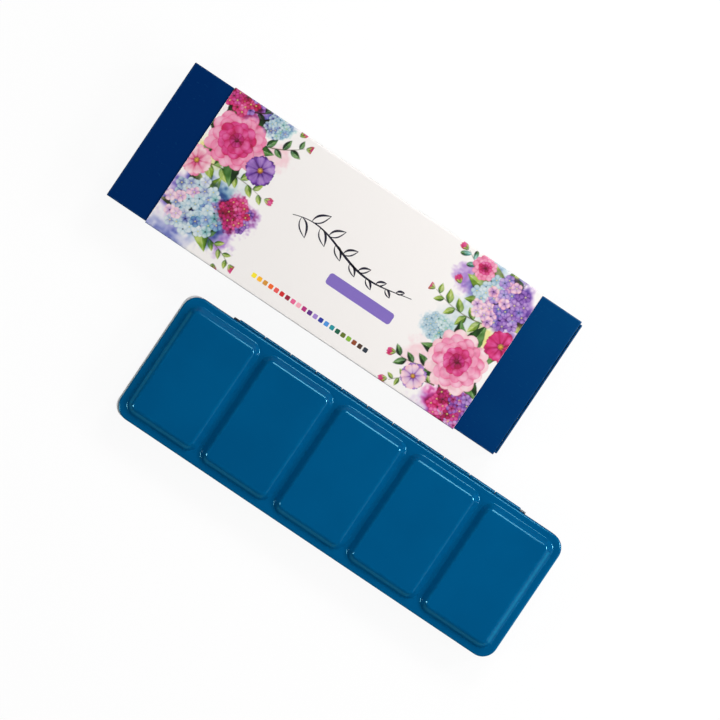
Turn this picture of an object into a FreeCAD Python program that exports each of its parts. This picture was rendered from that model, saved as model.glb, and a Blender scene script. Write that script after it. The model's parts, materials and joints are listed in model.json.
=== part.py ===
import FreeCAD, Part
import math
import os
import re
import Sketcher

# A watercolor pan set, in millimetres: a hinged, enamelled steel tin that holds full pans in a
# sheet rack, and the slip-case carton it is packed in, with a printed band round the carton.
# The two lie side by side on one surface, at Z = 0. The origin is the middle of that surface
# under the whole set, +X runs along the tin and +Y from the tin's front to its hinge.
#
# Every size is worked outwards: the pans set the rack, the rack sets the tin, and the tin sets
# the carton. Change a value in SIZES and what fits round it follows.

SIZES = {
    # the pans and how they sit
    "pan_rows": 3,
    "pan_columns": 7,
    "pan_length": 30.0,
    "pan_width": 19.0,
    "pan_height": 10.5,
    "pan_corner": 2.0,
    "pan_wall": 0.9,
    "pan_floor": 1.0,
    "paint_depth": 8.0,
    "pan_gap": 0.3,
    # the rack of folded sheet that grips them
    "ridge_width": 3.0,
    "ridge_height": 7.0,
    "rail_width": 1.45,
    "rack_end": 4.1,
    "rack_corner": 6.5,
    "rack_play": 0.4,
    "tab_depth": 0.25,
    "tab_length": 8.0,
    # the tin's sheet, base and lid
    "sheet": 0.4,
    "pan_headroom": 2.7,
    "base_corner": 7.0,
    "tub_round": 1.5,
    "lip_height": 3.0,
    "lid_play": 0.3,
    "lid_shift": 0.5,
    "lid_corner": 8.0,
    "lid_height": 6.5,
    "lid_round": 1.0,
    # the pressed panels of the lid
    "panel_count": 5,
    "panel_border": 3.6,
    "panel_groove": 1.9,
    "panel_slope": 3.3,
    "panel_rise": 4.0,
    "panel_corner": 6.0,
    # the hinge: lid knuckles at both ends, base knuckles between them
    "lid_knuckles": 6,
    "knuckle_pitch": 15.3,
    "knuckle_gap": 0.5,
    "knuckle_clear": 0.3,
    "pin_radius": 0.5,
    "pin_play": 0.05,
    "pin_stand": 0.1,
    "pin_overhang": 3.0,
    # the carton: tray, slip case and band
    "board": 1.0,
    "tray_end_play": 1.6,
    "tray_side_play": 0.625,
    "tray_headroom": 0.7,
    "tray_proud": 1.3,
    "case_play": 0.3,
    "band_sheet": 0.4,
    "band_play": 0.3,
    "band_length": 183.0,
    "band_fold": 0.8,
    # how the carton lies beside the tin
    "carton_aside": -58.0,
    "set_gap": 13.6,
}

DERIVED = {
    "column_pitch": "pan_length + pan_gap",
    "row_pitch": "pan_width + 2 * tab_depth + ridge_width",
    "pans_length": "pan_columns * column_pitch - pan_gap",
    "pan_bottom": "2 * sheet",
    "rack_length": "pans_length + 2 * rack_end",
    "rack_width": "pan_rows * row_pitch - ridge_width + 2 * rail_width",
    "mouth_length": "rack_length + 2 * rack_play",
    "mouth_width": "rack_width + 2 * rack_play",
    "lip_length": "mouth_length + 2 * sheet",
    "lip_width": "mouth_width + 2 * sheet",
    "lip_corner": "lid_corner - sheet - lid_play",
    "shoulder": "sheet + lid_play + lid_shift",
    "tin_length": "lip_length + 2 * shoulder",
    "tin_width": "lip_width + 2 * shoulder",
    "base_height": "pan_bottom + pan_height + pan_headroom",
    "border_top": "base_height + lid_height",
    "tin_height": "border_top + panel_rise",
    "panel_length": "(tin_length - 2 * panel_border - (panel_count - 1) * panel_groove) / panel_count",
    "panel_width": "tin_width - 2 * panel_border",
    "panel_pitch": "panel_length + panel_groove",
    "well_inset": "sheet * tan(atan(panel_rise / panel_slope) / 2)",
    "knuckle_radius": "pin_radius + pin_play + sheet",
    "knuckle_length": "knuckle_pitch - knuckle_gap",
    "notch_reach": "knuckle_radius + knuckle_clear",
    "hinge_length": "(2 * lid_knuckles - 1) * knuckle_pitch",
    "hinge_left": "-hinge_length / 2",
    "hinge_y": "tin_width / 2 + pin_stand + pin_radius",
    "hinge_reach": "pin_stand + pin_radius + knuckle_radius",
    "tray_length": "tin_length + lid_shift + 2 * tray_end_play + 2 * board",
    "tray_width": "tin_width + hinge_reach + 2 * tray_side_play + 2 * board",
    "tray_height": "board + tin_height + tray_headroom",
    "tray_bottom": "band_sheet + board",
    "case_length": "board + case_play + tray_length - tray_proud",
    "case_width": "tray_width + 2 * case_play + 2 * board",
    "case_height": "tray_height + case_play + 2 * board",
    "case_left": "-case_length / 2",
    "tray_left": "case_left + board + case_play",
    "band_width": "case_width + 2 * band_play + 2 * band_sheet",
    "band_height": "case_height + band_play + 2 * band_sheet",
    "set_left": "min(-tin_length / 2; carton_aside - case_length / 2)",
    "set_right": "max(tin_length / 2 + lid_shift; carton_aside + case_length / 2 + tray_proud)",
    "tin_x": "-(set_left + set_right) / 2",
    "tin_y": "-(hinge_reach + set_gap + band_width) / 2",
    "carton_x": "tin_x + carton_aside",
    "carton_y": "tin_y + tin_width / 2 + hinge_reach + set_gap + band_width / 2",
}

doc = FreeCAD.newDocument("PanSet")
sheet = doc.addObject("Spreadsheet::Sheet", "Sizes")
subparts = []


def fill_sheet():
    """Write every driving size into the sheet, its name beside it and as its alias."""
    for row, (name, amount) in enumerate(SIZES.items(), start=1):
        sheet.set(f"A{row}", name)
        sheet.set(f"B{row}", str(amount))
        sheet.setAlias(f"B{row}", name)
    doc.recompute()


def formula(text):
    """Turn a formula of size names into an expression that reads the sheet."""
    def expand(match):
        name = match.group(0)
        if name in DERIVED:
            return f"({formula(DERIVED[name])})"
        return f"Sizes.{name}" if name in SIZES else name

    return re.sub(r"[a-z_]+", expand, text)


def number(text):
    """Work out a formula's present value."""
    result = sheet.evalExpression(formula(text))
    return float(getattr(result, "Value", result))


def bind(thing, path, text):
    """Tie a property to a formula of sheet sizes."""
    thing.setExpression(path, formula(text))


# ---- bodies, sketches and features -------------------------------------------------------------


def new_body(label, x, y, z):
    """Start a sub-part whose local origin stands at three formulas."""
    body = doc.addObject("PartDesign::Body", "Body_" + label)
    body.Label = label
    bind(body, "Placement.Base.x", x)
    bind(body, "Placement.Base.y", y)
    bind(body, "Placement.Base.z", z)
    subparts.append(body)
    return body


def origin_feature(body, role):
    """Find one of the body's own origin planes or axes by its role."""
    return next(f for f in body.Origin.OriginFeatures if f.Role == role)


def new_sketch(body, name, plane, offset):
    """Start a sketch on an origin plane of the body, moved along its normal by a formula."""
    sketch = body.newObject("Sketcher::SketchObject", name)
    sketch.AttachmentSupport = (origin_feature(body, plane), [""])
    sketch.MapMode = "FlatFace"
    bind(sketch, "AttachmentOffset.Base.z", offset)
    return sketch


def constrain(sketch, text, kind, *where):
    """Add one driving dimension to a sketch and tie it to a formula."""
    index = sketch.addConstraint(Sketcher.Constraint(kind, *where, number(text)))
    bind(sketch, f"Constraints[{index}]", text)


def edge_positions(sketch, lines, left, right, low, high):
    """Place the low, right, high and left lines of a rectangle from the sketch's origin."""
    constrain(sketch, low, "DistanceY", -1, 1, lines[0], 1)
    constrain(sketch, right, "DistanceX", -1, 1, lines[1], 1)
    constrain(sketch, high, "DistanceY", -1, 1, lines[2], 1)
    constrain(sketch, left, "DistanceX", -1, 1, lines[3], 1)
    for line, kind in zip(lines, ("Horizontal", "Vertical", "Horizontal", "Vertical")):
        sketch.addConstraint(Sketcher.Constraint(kind, line))


def add_rectangle(sketch, left, right, low, high):
    """Draw a rectangle between four formulas."""
    x0, x1, y0, y1 = number(left), number(right), number(low), number(high)
    points = [(x0, y0), (x1, y0), (x1, y1), (x0, y1)]
    lines = []
    for start, end in zip(points, points[1:] + points[:1]):
        line = Part.LineSegment(FreeCAD.Vector(*start, 0), FreeCAD.Vector(*end, 0))
        lines.append(sketch.addGeometry(line, False))
    for line, following in zip(lines, lines[1:] + lines[:1]):
        sketch.addConstraint(Sketcher.Constraint("Coincident", line, 2, following, 1))
    edge_positions(sketch, lines, left, right, low, high)


def add_rounded_rectangle(sketch, left, right, low, high, radius):
    """Draw a rectangle between four formulas, its corners arcs of a fifth."""
    x0, x1, y0, y1, r = number(left), number(right), number(low), number(high), number(radius)
    ends = [
        ((x0 + r, y0), (x1 - r, y0)),
        ((x1, y0 + r), (x1, y1 - r)),
        ((x1 - r, y1), (x0 + r, y1)),
        ((x0, y1 - r), (x0, y0 + r)),
    ]
    centres = [(x1 - r, y0 + r), (x1 - r, y1 - r), (x0 + r, y1 - r), (x0 + r, y0 + r)]
    lines, arcs = [], []
    for quarter, ((start, end), centre) in enumerate(zip(ends, centres)):
        line = Part.LineSegment(FreeCAD.Vector(*start, 0), FreeCAD.Vector(*end, 0))
        lines.append(sketch.addGeometry(line, False))
        circle = Part.Circle(FreeCAD.Vector(*centre, 0), FreeCAD.Vector(0, 0, 1), r)
        arc = Part.ArcOfCircle(circle, (quarter - 1) * math.pi / 2, quarter * math.pi / 2)
        arcs.append(sketch.addGeometry(arc, False))
    for line, arc, following in zip(lines, arcs, lines[1:] + lines[:1]):
        sketch.addConstraint(Sketcher.Constraint("Tangent", line, 2, arc, 1))
        sketch.addConstraint(Sketcher.Constraint("Tangent", arc, 2, following, 1))
    for arc in arcs[1:]:
        sketch.addConstraint(Sketcher.Constraint("Equal", arcs[0], arc))
    constrain(sketch, radius, "Radius", arcs[0])
    edge_positions(sketch, lines, left, right, low, high)


def add_circle(sketch, across, up, radius):
    """Draw a circle about a centre given by two formulas."""
    centre = FreeCAD.Vector(number(across), number(up), 0)
    circle = sketch.addGeometry(Part.Circle(centre, FreeCAD.Vector(0, 0, 1), number(radius)), False)
    constrain(sketch, across, "DistanceX", -1, 1, circle, 3)
    constrain(sketch, up, "DistanceY", -1, 1, circle, 3)
    constrain(sketch, radius, "Radius", circle)


def plan_sketch(body, name, height, length, width, radius, centre="0"):
    """Draw a rounded plan outline at a height, centred on X = centre and Y = 0."""
    sketch = new_sketch(body, name, "XY_Plane", height)
    half_length, half_width = f"({length}) / 2", f"({width}) / 2"
    add_rounded_rectangle(
        sketch, f"{centre} - {half_length}", f"{centre} + {half_length}",
        f"-{half_width}", half_width, radius,
    )
    return sketch


def add_feature(body, kind, sketch, length, name, reverse=False):
    """Pad or pocket a sketch by a formula, and check that it changed the body's volume."""
    before = body.Shape.Volume if body.Tip else 0.0
    feature = body.newObject("PartDesign::" + kind, name)
    feature.Profile = sketch
    feature.Reversed = reverse
    bind(feature, "Length", length)
    doc.recompute()
    grown = feature.Shape.Volume - before
    if grown * (1 if kind == "Pad" else -1) <= 0:
        raise RuntimeError(f"{body.Label}: {name} changed the volume by {grown:.3f}")
    return feature


def pad(body, sketch, length, name, reverse=False):
    """Add a prism of a sketch, along its normal unless reversed."""
    return add_feature(body, "Pad", sketch, length, name, reverse)


def pocket(body, sketch, length, name, reverse=False):
    """Cut a prism of a sketch, against its normal unless reversed."""
    return add_feature(body, "Pocket", sketch, length, name, reverse)


def loft(body, kind, foot, crown, name):
    """Add or cut the loft between two outlines."""
    feature = body.newObject("PartDesign::" + kind, name)
    feature.Profile = foot
    feature.Sections = [crown]
    feature.Ruled = True
    doc.recompute()
    return feature


def repeat_along_x(body, feature, pitch, count, name):
    """Repeat a feature along X at a pitch."""
    pattern = body.newObject("PartDesign::LinearPattern", name)
    pattern.Originals = [feature]
    pattern.Direction = (origin_feature(body, "X_Axis"), [""])
    bind(pattern, "Length", f"({pitch}) * ({count} - 1)")
    bind(pattern, "Occurrences", count)
    body.Tip = pattern
    doc.recompute()
    return pattern


def round_edges_at(body, height, radius, name):
    """Round the edges of the body's last feature that lie flat at a local height."""
    level = number(height)
    base = body.Tip
    names = []
    for index, edge in enumerate(base.Shape.Edges, start=1):
        box = edge.BoundBox
        if abs(box.ZMin - level) < 1e-4 and abs(box.ZMax - level) < 1e-4:
            names.append(f"Edge{index}")
    fillet = body.newObject("PartDesign::Fillet", name)
    fillet.Base = (base, names)
    bind(fillet, "Radius", radius)
    doc.recompute()
    return fillet


# ---- the hinge, shared by base and lid -----------------------------------------------------------


def cut_notches(body, first, count, upwards, name):
    """Cut room for the other half's knuckles out of the wall beside the split line."""
    sketch = new_sketch(body, name + "Outline", "XY_Plane", "base_height")
    start = f"hinge_left + {first} * knuckle_pitch"
    add_rectangle(
        sketch, start, f"{start} + knuckle_pitch", "hinge_y - notch_reach", "hinge_y + notch_reach"
    )
    notch = pocket(body, sketch, "notch_reach", name, reverse=upwards)
    repeat_along_x(body, notch, "2 * knuckle_pitch", count, name + "Row")


def add_knuckles(body, first, count, name):
    """Roll a row of knuckles round the hinge axis and bore them for the pin."""
    start = f"hinge_left + {first} * knuckle_pitch + knuckle_gap / 2"
    curl = new_sketch(body, name + "Curl", "YZ_Plane", start)
    add_circle(curl, "hinge_y", "base_height", "knuckle_radius")
    knuckle = pad(body, curl, "knuckle_length", name)
    repeat_along_x(body, knuckle, "2 * knuckle_pitch", count, name + "Row")
    hole = new_sketch(body, name + "Hole", "YZ_Plane", "hinge_left")
    add_circle(hole, "hinge_y", "base_height", "pin_radius + pin_play")
    pocket(body, hole, "hinge_length", name + "Bore", reverse=True)


# ---- the tin -------------------------------------------------------------------------------------


def make_tin_base():
    """The base: a drawn tub, a shoulder that the lid stands on and a lip that goes up inside it."""
    body = new_body("tin_base", "tin_x", "tin_y", "0")
    plan = plan_sketch(body, "TubPlan", "0", "tin_length", "tin_width", "base_corner")
    pad(body, plan, "base_height", "Tub")
    lip = plan_sketch(body, "LipPlan", "base_height", "lip_length", "lip_width", "lip_corner")
    pad(body, lip, "lip_height", "Lip")
    mouth = plan_sketch(
        body, "MouthPlan", "base_height + lip_height", "mouth_length", "mouth_width",
        "lip_corner - sheet",
    )
    pocket(body, mouth, "lip_height + sheet", "Mouth")
    hollow = plan_sketch(
        body, "HollowPlan", "base_height - sheet", "tin_length - 2 * sheet",
        "tin_width - 2 * sheet", "base_corner - sheet",
    )
    pocket(body, hollow, "base_height - 2 * sheet", "Hollow")
    round_edges_at(body, "sheet", "tub_round - sheet", "HollowRound")
    round_edges_at(body, "0", "tub_round", "TubRound")
    cut_notches(body, "0", "lid_knuckles", False, "BaseNotch")
    add_knuckles(body, "1", "lid_knuckles - 1", "BaseKnuckle")


def panel_outline(body, name, height, inset):
    """The first panel's outline at a height, drawn in from its foot by an inset."""
    sketch = new_sketch(body, name, "XY_Plane", height)
    left = "lid_shift - tin_length / 2 + panel_border"
    add_rounded_rectangle(
        sketch, f"{left} + {inset}", f"{left} + panel_length - ({inset})",
        f"-panel_width / 2 + {inset}", f"panel_width / 2 - ({inset})",
        f"panel_corner - ({inset})",
    )
    return sketch


def make_tin_lid():
    """The lid: a drawn shell with a row of raised panels, which are mixing wells from inside."""
    body = new_body("tin_lid", "tin_x", "tin_y", "0")
    plan = plan_sketch(
        body, "ShellPlan", "base_height", "tin_length", "tin_width", "lid_corner", "lid_shift"
    )
    pad(body, plan, "lid_height", "Shell")
    inside = plan_sketch(
        body, "InsidePlan", "base_height", "tin_length - 2 * sheet", "tin_width - 2 * sheet",
        "lid_corner - sheet", "lid_shift",
    )
    pocket(body, inside, "lid_height - sheet", "Inside", reverse=True)
    round_edges_at(body, "border_top - sheet", "lid_round - sheet", "InsideRound")
    round_edges_at(body, "border_top", "lid_round", "ShellRound")
    foot = panel_outline(body, "PanelFoot", "border_top", "0")
    crown = panel_outline(body, "PanelCrown", "tin_height", "panel_slope")
    panel = loft(body, "AdditiveLoft", foot, crown, "Panel")
    repeat_along_x(body, panel, "panel_pitch", "panel_count", "PanelRow")
    foot = panel_outline(body, "WellFoot", "border_top - sheet", "well_inset")
    crown = panel_outline(body, "WellCrown", "tin_height - sheet", "well_inset + panel_slope")
    well = loft(body, "SubtractiveLoft", foot, crown, "Well")
    repeat_along_x(body, well, "panel_pitch", "panel_count", "WellRow")
    cut_notches(body, "1", "lid_knuckles - 1", True, "LidNotch")
    add_knuckles(body, "0", "lid_knuckles", "LidKnuckle")


def make_hinge_pin():
    """The hinge pin: one wire through all the knuckles, its ends left standing out."""
    pin = doc.addObject("Part::Cylinder", "HingePin")
    pin.Label = "hinge_pin"
    bind(pin, "Radius", "pin_radius")
    bind(pin, "Height", "hinge_length + 2 * pin_overhang")
    pin.Placement.Rotation = FreeCAD.Rotation(FreeCAD.Vector(0, 1, 0), 90)
    bind(pin, "Placement.Base.x", "tin_x + hinge_left - pin_overhang")
    bind(pin, "Placement.Base.y", "tin_y + hinge_y")
    bind(pin, "Placement.Base.z", "base_height")
    subparts.append(pin)


# ---- the rack and its pans -----------------------------------------------------------------------


def row_middle(row):
    """A row of pans' middle along Y, the first row next to the hinge."""
    return f"((pan_rows - 1) / 2 - {row}) * row_pitch"


def fold_spans():
    """The folds between and beside the rows, back to front: Y from, Y to and length along X."""
    rows = SIZES["pan_rows"]
    rail_length = "(rack_length - 2 * rack_corner)"
    side = "pan_width / 2 + tab_depth"
    back = f"{row_middle(0)} + {side}"
    front = f"{row_middle(rows - 1)} - ({side})"
    spans = [(back, f"{back} + rail_width", rail_length)]
    for row in range(1, rows):
        ridge = f"{row_middle(row)} + {side}"
        spans.append((ridge, f"{ridge} + ridge_width", "pans_length"))
    spans.append((f"{front} - rail_width", front, rail_length))
    return spans


def make_pan_rack():
    """The rack: a floor with pressed folds between the rows and a spring tab at each pan's side."""
    body = new_body("pan_rack", "tin_x", "tin_y", "sheet")
    floor = plan_sketch(body, "FloorPlan", "0", "rack_length", "rack_width", "rack_corner")
    pad(body, floor, "sheet", "Floor")
    folds = new_sketch(body, "FoldPlan", "XY_Plane", "0")
    for low, high, length in fold_spans():
        add_rectangle(folds, f"-{length} / 2", f"{length} / 2", low, high)
    pad(body, folds, "ridge_height", "Folds")
    hollows = new_sketch(body, "FoldHollowPlan", "XY_Plane", "0")
    for low, high, length in fold_spans():
        add_rectangle(
            hollows, f"-{length} / 2 + sheet", f"{length} / 2 - sheet",
            f"{low} + sheet", f"{high} - sheet",
        )
    pocket(body, hollows, "ridge_height - sheet", "FoldHollows", reverse=True)
    tabs = new_sketch(body, "TabPlan", "XY_Plane", "0")
    middle = "-(pan_columns - 1) / 2 * column_pitch"
    for row in range(SIZES["pan_rows"]):
        for low, high in (("pan_width / 2", "pan_width / 2 + tab_depth"),
                          ("-pan_width / 2 - tab_depth", "-pan_width / 2")):
            add_rectangle(
                tabs, f"{middle} - tab_length / 2", f"{middle} + tab_length / 2",
                f"{row_middle(row)} + {low}", f"{row_middle(row)} + {high}",
            )
    first = pad(body, tabs, "ridge_height", "Tabs")
    repeat_along_x(body, first, "column_pitch", "pan_columns", "TabRow")


def make_pan(label, x, y):
    """One full pan: a moulded cup with a flat floor."""
    body = new_body(label, x, y, "pan_bottom")
    outline = plan_sketch(body, label + "_plan", "0", "pan_length", "pan_width", "pan_corner")
    pad(body, outline, "pan_height", label + "_block")
    inside = plan_sketch(
        body, label + "_cavity_plan", "pan_height", "pan_length - 2 * pan_wall",
        "pan_width - 2 * pan_wall", "pan_corner - pan_wall",
    )
    pocket(body, inside, "pan_height - pan_floor", label + "_cavity")


def make_paint(label, x, y):
    """The dried paint of one pan: it fills the cup to a little under the rim."""
    body = new_body(label, x, y, "pan_bottom + pan_floor")
    outline = plan_sketch(
        body, label + "_plan", "0", "pan_length - 2 * pan_wall", "pan_width - 2 * pan_wall",
        "pan_corner - pan_wall",
    )
    pad(body, outline, "paint_depth", label + "_block")


def make_pans():
    """All the pans and their paints, row by row from the hinge, each row from left to right."""
    place = 0
    for row in range(SIZES["pan_rows"]):
        for column in range(SIZES["pan_columns"]):
            place += 1
            x = f"tin_x + ({column} - (pan_columns - 1) / 2) * column_pitch"
            y = f"tin_y + {row_middle(row)}"
            make_pan(f"pan_{place:02d}", x, y)
            make_paint(f"paint_{place:02d}", x, y)


# ---- the carton ----------------------------------------------------------------------------------


def carton_section(body, name, start, width, low, high):
    """A rectangle across the carton at a place along X, between two heights."""
    sketch = new_sketch(body, name, "YZ_Plane", start)
    add_rectangle(sketch, f"-({width}) / 2", f"({width}) / 2", low, high)
    return sketch


def make_carton_case():
    """The slip case: a board box that is open at its right end only."""
    body = new_body("carton_case", "carton_x", "carton_y", "0")
    outside = carton_section(
        body, "CaseOutside", "case_left", "case_width", "band_sheet", "band_sheet + case_height"
    )
    pad(body, outside, "case_length", "Case")
    inside = carton_section(
        body, "CaseInside", "case_left + board", "case_width - 2 * board", "tray_bottom",
        "band_sheet + case_height - board",
    )
    pocket(body, inside, "case_length - board", "CaseHollow", reverse=True)


def make_carton_tray():
    """The tray that carries the tin and slides out of the case's right end."""
    body = new_body("carton_tray", "carton_x", "carton_y", "tray_bottom")
    outside = new_sketch(body, "TrayOutside", "XY_Plane", "0")
    add_rectangle(
        outside, "tray_left", "tray_left + tray_length", "-tray_width / 2", "tray_width / 2"
    )
    pad(body, outside, "tray_height", "Tray")
    inside = new_sketch(body, "TrayInside", "XY_Plane", "tray_height")
    add_rectangle(
        inside, "tray_left + board", "tray_left + tray_length - board",
        "-tray_width / 2 + board", "tray_width / 2 - board",
    )
    pocket(body, inside, "tray_height - board", "TrayHollow")


def make_printed_band():
    """The printed band: a card sleeve that goes all round the case and slides along it."""
    body = new_body("printed_band", "carton_x", "carton_y", "0")
    outside = new_sketch(body, "BandOutside", "YZ_Plane", "-band_length / 2")
    add_rounded_rectangle(
        outside, "-band_width / 2", "band_width / 2", "0", "band_height", "band_fold"
    )
    pad(body, outside, "band_length", "Band")
    inside = new_sketch(body, "BandInside", "YZ_Plane", "-band_length / 2")
    add_rectangle(
        inside, "-band_width / 2 + band_sheet", "band_width / 2 - band_sheet",
        "band_sheet", "band_height - band_sheet",
    )
    pocket(body, inside, "band_length", "BandHollow", reverse=True)


# ---- build, check and write ----------------------------------------------------------------------


def check_document():
    """Stop if any object failed or any sub-part isn't a sound shape."""
    doc.recompute()
    for thing in doc.Objects:
        if "Invalid" in thing.State or "Error" in thing.State:
            raise RuntimeError(f"{thing.Label}: {thing.State}")
    for subpart in subparts:
        if subpart.Shape.isNull() or not subpart.Shape.isValid():
            raise RuntimeError(f"{subpart.Label}: its shape is null or invalid")
        if len(subpart.Shape.Solids) != 1:
            raise RuntimeError(f"{subpart.Label}: {len(subpart.Shape.Solids)} solids")


def write_parts():
    """Write each sub-part to its own file, named by its label."""
    os.makedirs("parts", exist_ok=True)
    for subpart in subparts:
        subpart.Shape.exportStep(f"parts/{subpart.Label}.step")
    print(f"{len(subparts)} sub-parts written")


fill_sheet()
make_tin_base()
make_tin_lid()
make_hinge_pin()
make_pan_rack()
make_pans()
make_carton_case()
make_carton_tray()
make_printed_band()
check_document()
write_parts()
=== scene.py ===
"""The looks of a watercolor pan set: a hinged enamel tin of 21 pans, and the carton it comes in.

Lengths are in millimetres until a mesh is made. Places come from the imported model, so every piece
lies where its CAD node does.
"""

import json
import logging
import math
from collections.abc import Iterable, Sequence
from dataclasses import dataclass, field
from enum import Enum

import bmesh
import bpy
import numpy as np
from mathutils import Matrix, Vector
from mathutils.geometry import delaunay_2d_cdt


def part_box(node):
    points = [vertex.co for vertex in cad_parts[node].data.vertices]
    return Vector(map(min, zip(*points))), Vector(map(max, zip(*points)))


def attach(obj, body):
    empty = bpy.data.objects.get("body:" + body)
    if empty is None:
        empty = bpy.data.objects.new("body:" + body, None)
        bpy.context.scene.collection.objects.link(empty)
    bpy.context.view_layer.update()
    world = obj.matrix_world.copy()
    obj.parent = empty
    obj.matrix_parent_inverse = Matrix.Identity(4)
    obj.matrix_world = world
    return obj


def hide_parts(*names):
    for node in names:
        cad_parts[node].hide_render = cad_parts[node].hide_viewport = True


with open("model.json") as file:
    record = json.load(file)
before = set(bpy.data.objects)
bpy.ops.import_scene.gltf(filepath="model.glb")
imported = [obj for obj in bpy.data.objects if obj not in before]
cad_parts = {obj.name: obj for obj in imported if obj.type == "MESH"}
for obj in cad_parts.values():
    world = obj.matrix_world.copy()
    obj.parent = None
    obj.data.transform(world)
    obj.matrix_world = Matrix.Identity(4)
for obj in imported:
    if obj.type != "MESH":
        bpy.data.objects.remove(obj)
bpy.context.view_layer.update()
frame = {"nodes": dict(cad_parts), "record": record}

MM = 0.001
CREASE = 40.0
Flat = tuple[float, float]
Spot = tuple[float, float, float]
Colour = tuple[float, float, float]
Piece = bpy.types.Object
Mesh = bpy.types.Mesh
Material = bpy.types.Material
Tree = bpy.types.NodeTree
Node = bpy.types.Node
Socket = bpy.types.NodeSocket
Sockets = bpy.types.bpy_prop_collection

log = logging.getLogger("pan_set")


# ---- small helpers -----------------------------------------------------------------------------


def from_screen(red: int, green: int, blue: int) -> Colour:
    """Turn a display colour into linear light.

    Args:
        red: Red, 0 to 255.
        green: Green, 0 to 255.
        blue: Blue, 0 to 255.

    Returns:
        The same colour in linear light, 0 to 1.
    """
    shares = (channel / 255 for channel in (red, green, blue))
    return tuple(s / 12.92 if s <= 0.04045 else ((s + 0.055) / 1.055) ** 2.4 for s in shares)


def node_box(node: str) -> tuple[Vector, Vector]:
    """Give a CAD node's lowest and highest corners at rest, in millimetres."""
    low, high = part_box(node)
    return Vector(low) / MM, Vector(high) / MM


def body_with(node: str) -> str:
    """Give the name of the body that a CAD node belongs to."""
    bodies = frame["record"]["behaviour"]["bodies"]
    return next(body for body, nodes in bodies.items() if node in nodes)


def new_object(name: str, data: bpy.types.ID) -> Piece:
    """Make an object and put it in the scene.

    Args:
        name: Its name.
        data: Its mesh, lamp or camera.

    Returns:
        The object.
    """
    made = bpy.data.objects.new(name, data)
    bpy.context.scene.collection.objects.link(made)
    return made


def stand_for(piece: Piece, node: str) -> None:
    """Let a piece take a CAD node's place and move with its body.

    Args:
        piece: The finished piece.
        node: The CAD node that it stands for.
    """
    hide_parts(node)
    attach(piece, body_with(node))
    log.info("%s stands for %s: %d faces", piece.name, node, len(piece.data.polygons))


# ---- shapes ------------------------------------------------------------------------------------


@dataclass(frozen=True)
class Turn:
    """One corner of a section: how far in it is, how high, and how round."""

    inset: float
    height: float
    radius: float = 0.0


@dataclass(frozen=True)
class Step:
    """One point of a drawn section, and whether it lies on a rounded corner."""

    inset: float
    height: float
    rounded: bool = False


def rounded_turn(before: Turn, here: Turn, after: Turn, steps: int) -> list[Step]:
    """Round one corner of a section.

    Args:
        before: The corner before it.
        here: The corner to round.
        after: The corner after it.
        steps: How many pieces the arc has.

    Returns:
        The points of the arc, or the corner alone if it is sharp.
    """
    if here.radius == 0:
        return [Step(here.inset, here.height)]
    corner = Vector((here.inset, here.height))
    back = (Vector((before.inset, before.height)) - corner).normalized()
    onward = (Vector((after.inset, after.height)) - corner).normalized()
    half = back.angle(onward) / 2
    middle = corner + (back + onward).normalized() * here.radius / math.sin(half)
    first = corner + back * here.radius / math.tan(half) - middle
    last = corner + onward * here.radius / math.tan(half) - middle
    start = math.atan2(first.y, first.x)
    sweep = math.remainder(math.atan2(last.y, last.x) - start, math.tau)
    angles = [start + sweep * step / steps for step in range(steps + 1)]
    return [
        Step(middle.x + here.radius * math.cos(a), middle.y + here.radius * math.sin(a), True)
        for a in angles
    ]


def section(turns: Sequence[Turn], steps: int = 6) -> list[Step]:
    """Draw a section through its corners.

    Args:
        turns: The corners in order. The first and the last stay sharp.
        steps: How many pieces each rounded corner has.

    Returns:
        The section's points.
    """
    path = [Step(turns[0].inset, turns[0].height)]
    for before, here, after in zip(turns, turns[1:], turns[2:]):
        path += rounded_turn(before, here, after, steps)
    path.append(Step(turns[-1].inset, turns[-1].height))
    return path


class Lie(Enum):
    """Which way a piece's section runs: up from its plan, or along X from its end.

    Each value gives the two axes of the plan, then the section's.
    """

    UPRIGHT = (0, 1, 2)
    ALONG_X = (1, 2, 0)

    def place(self, first: float, second: float, height: float) -> Spot:
        """Turn a plan point and a height into a place in the set."""
        return (first, second, height) if self is Lie.UPRIGHT else (height, first, second)


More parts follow.
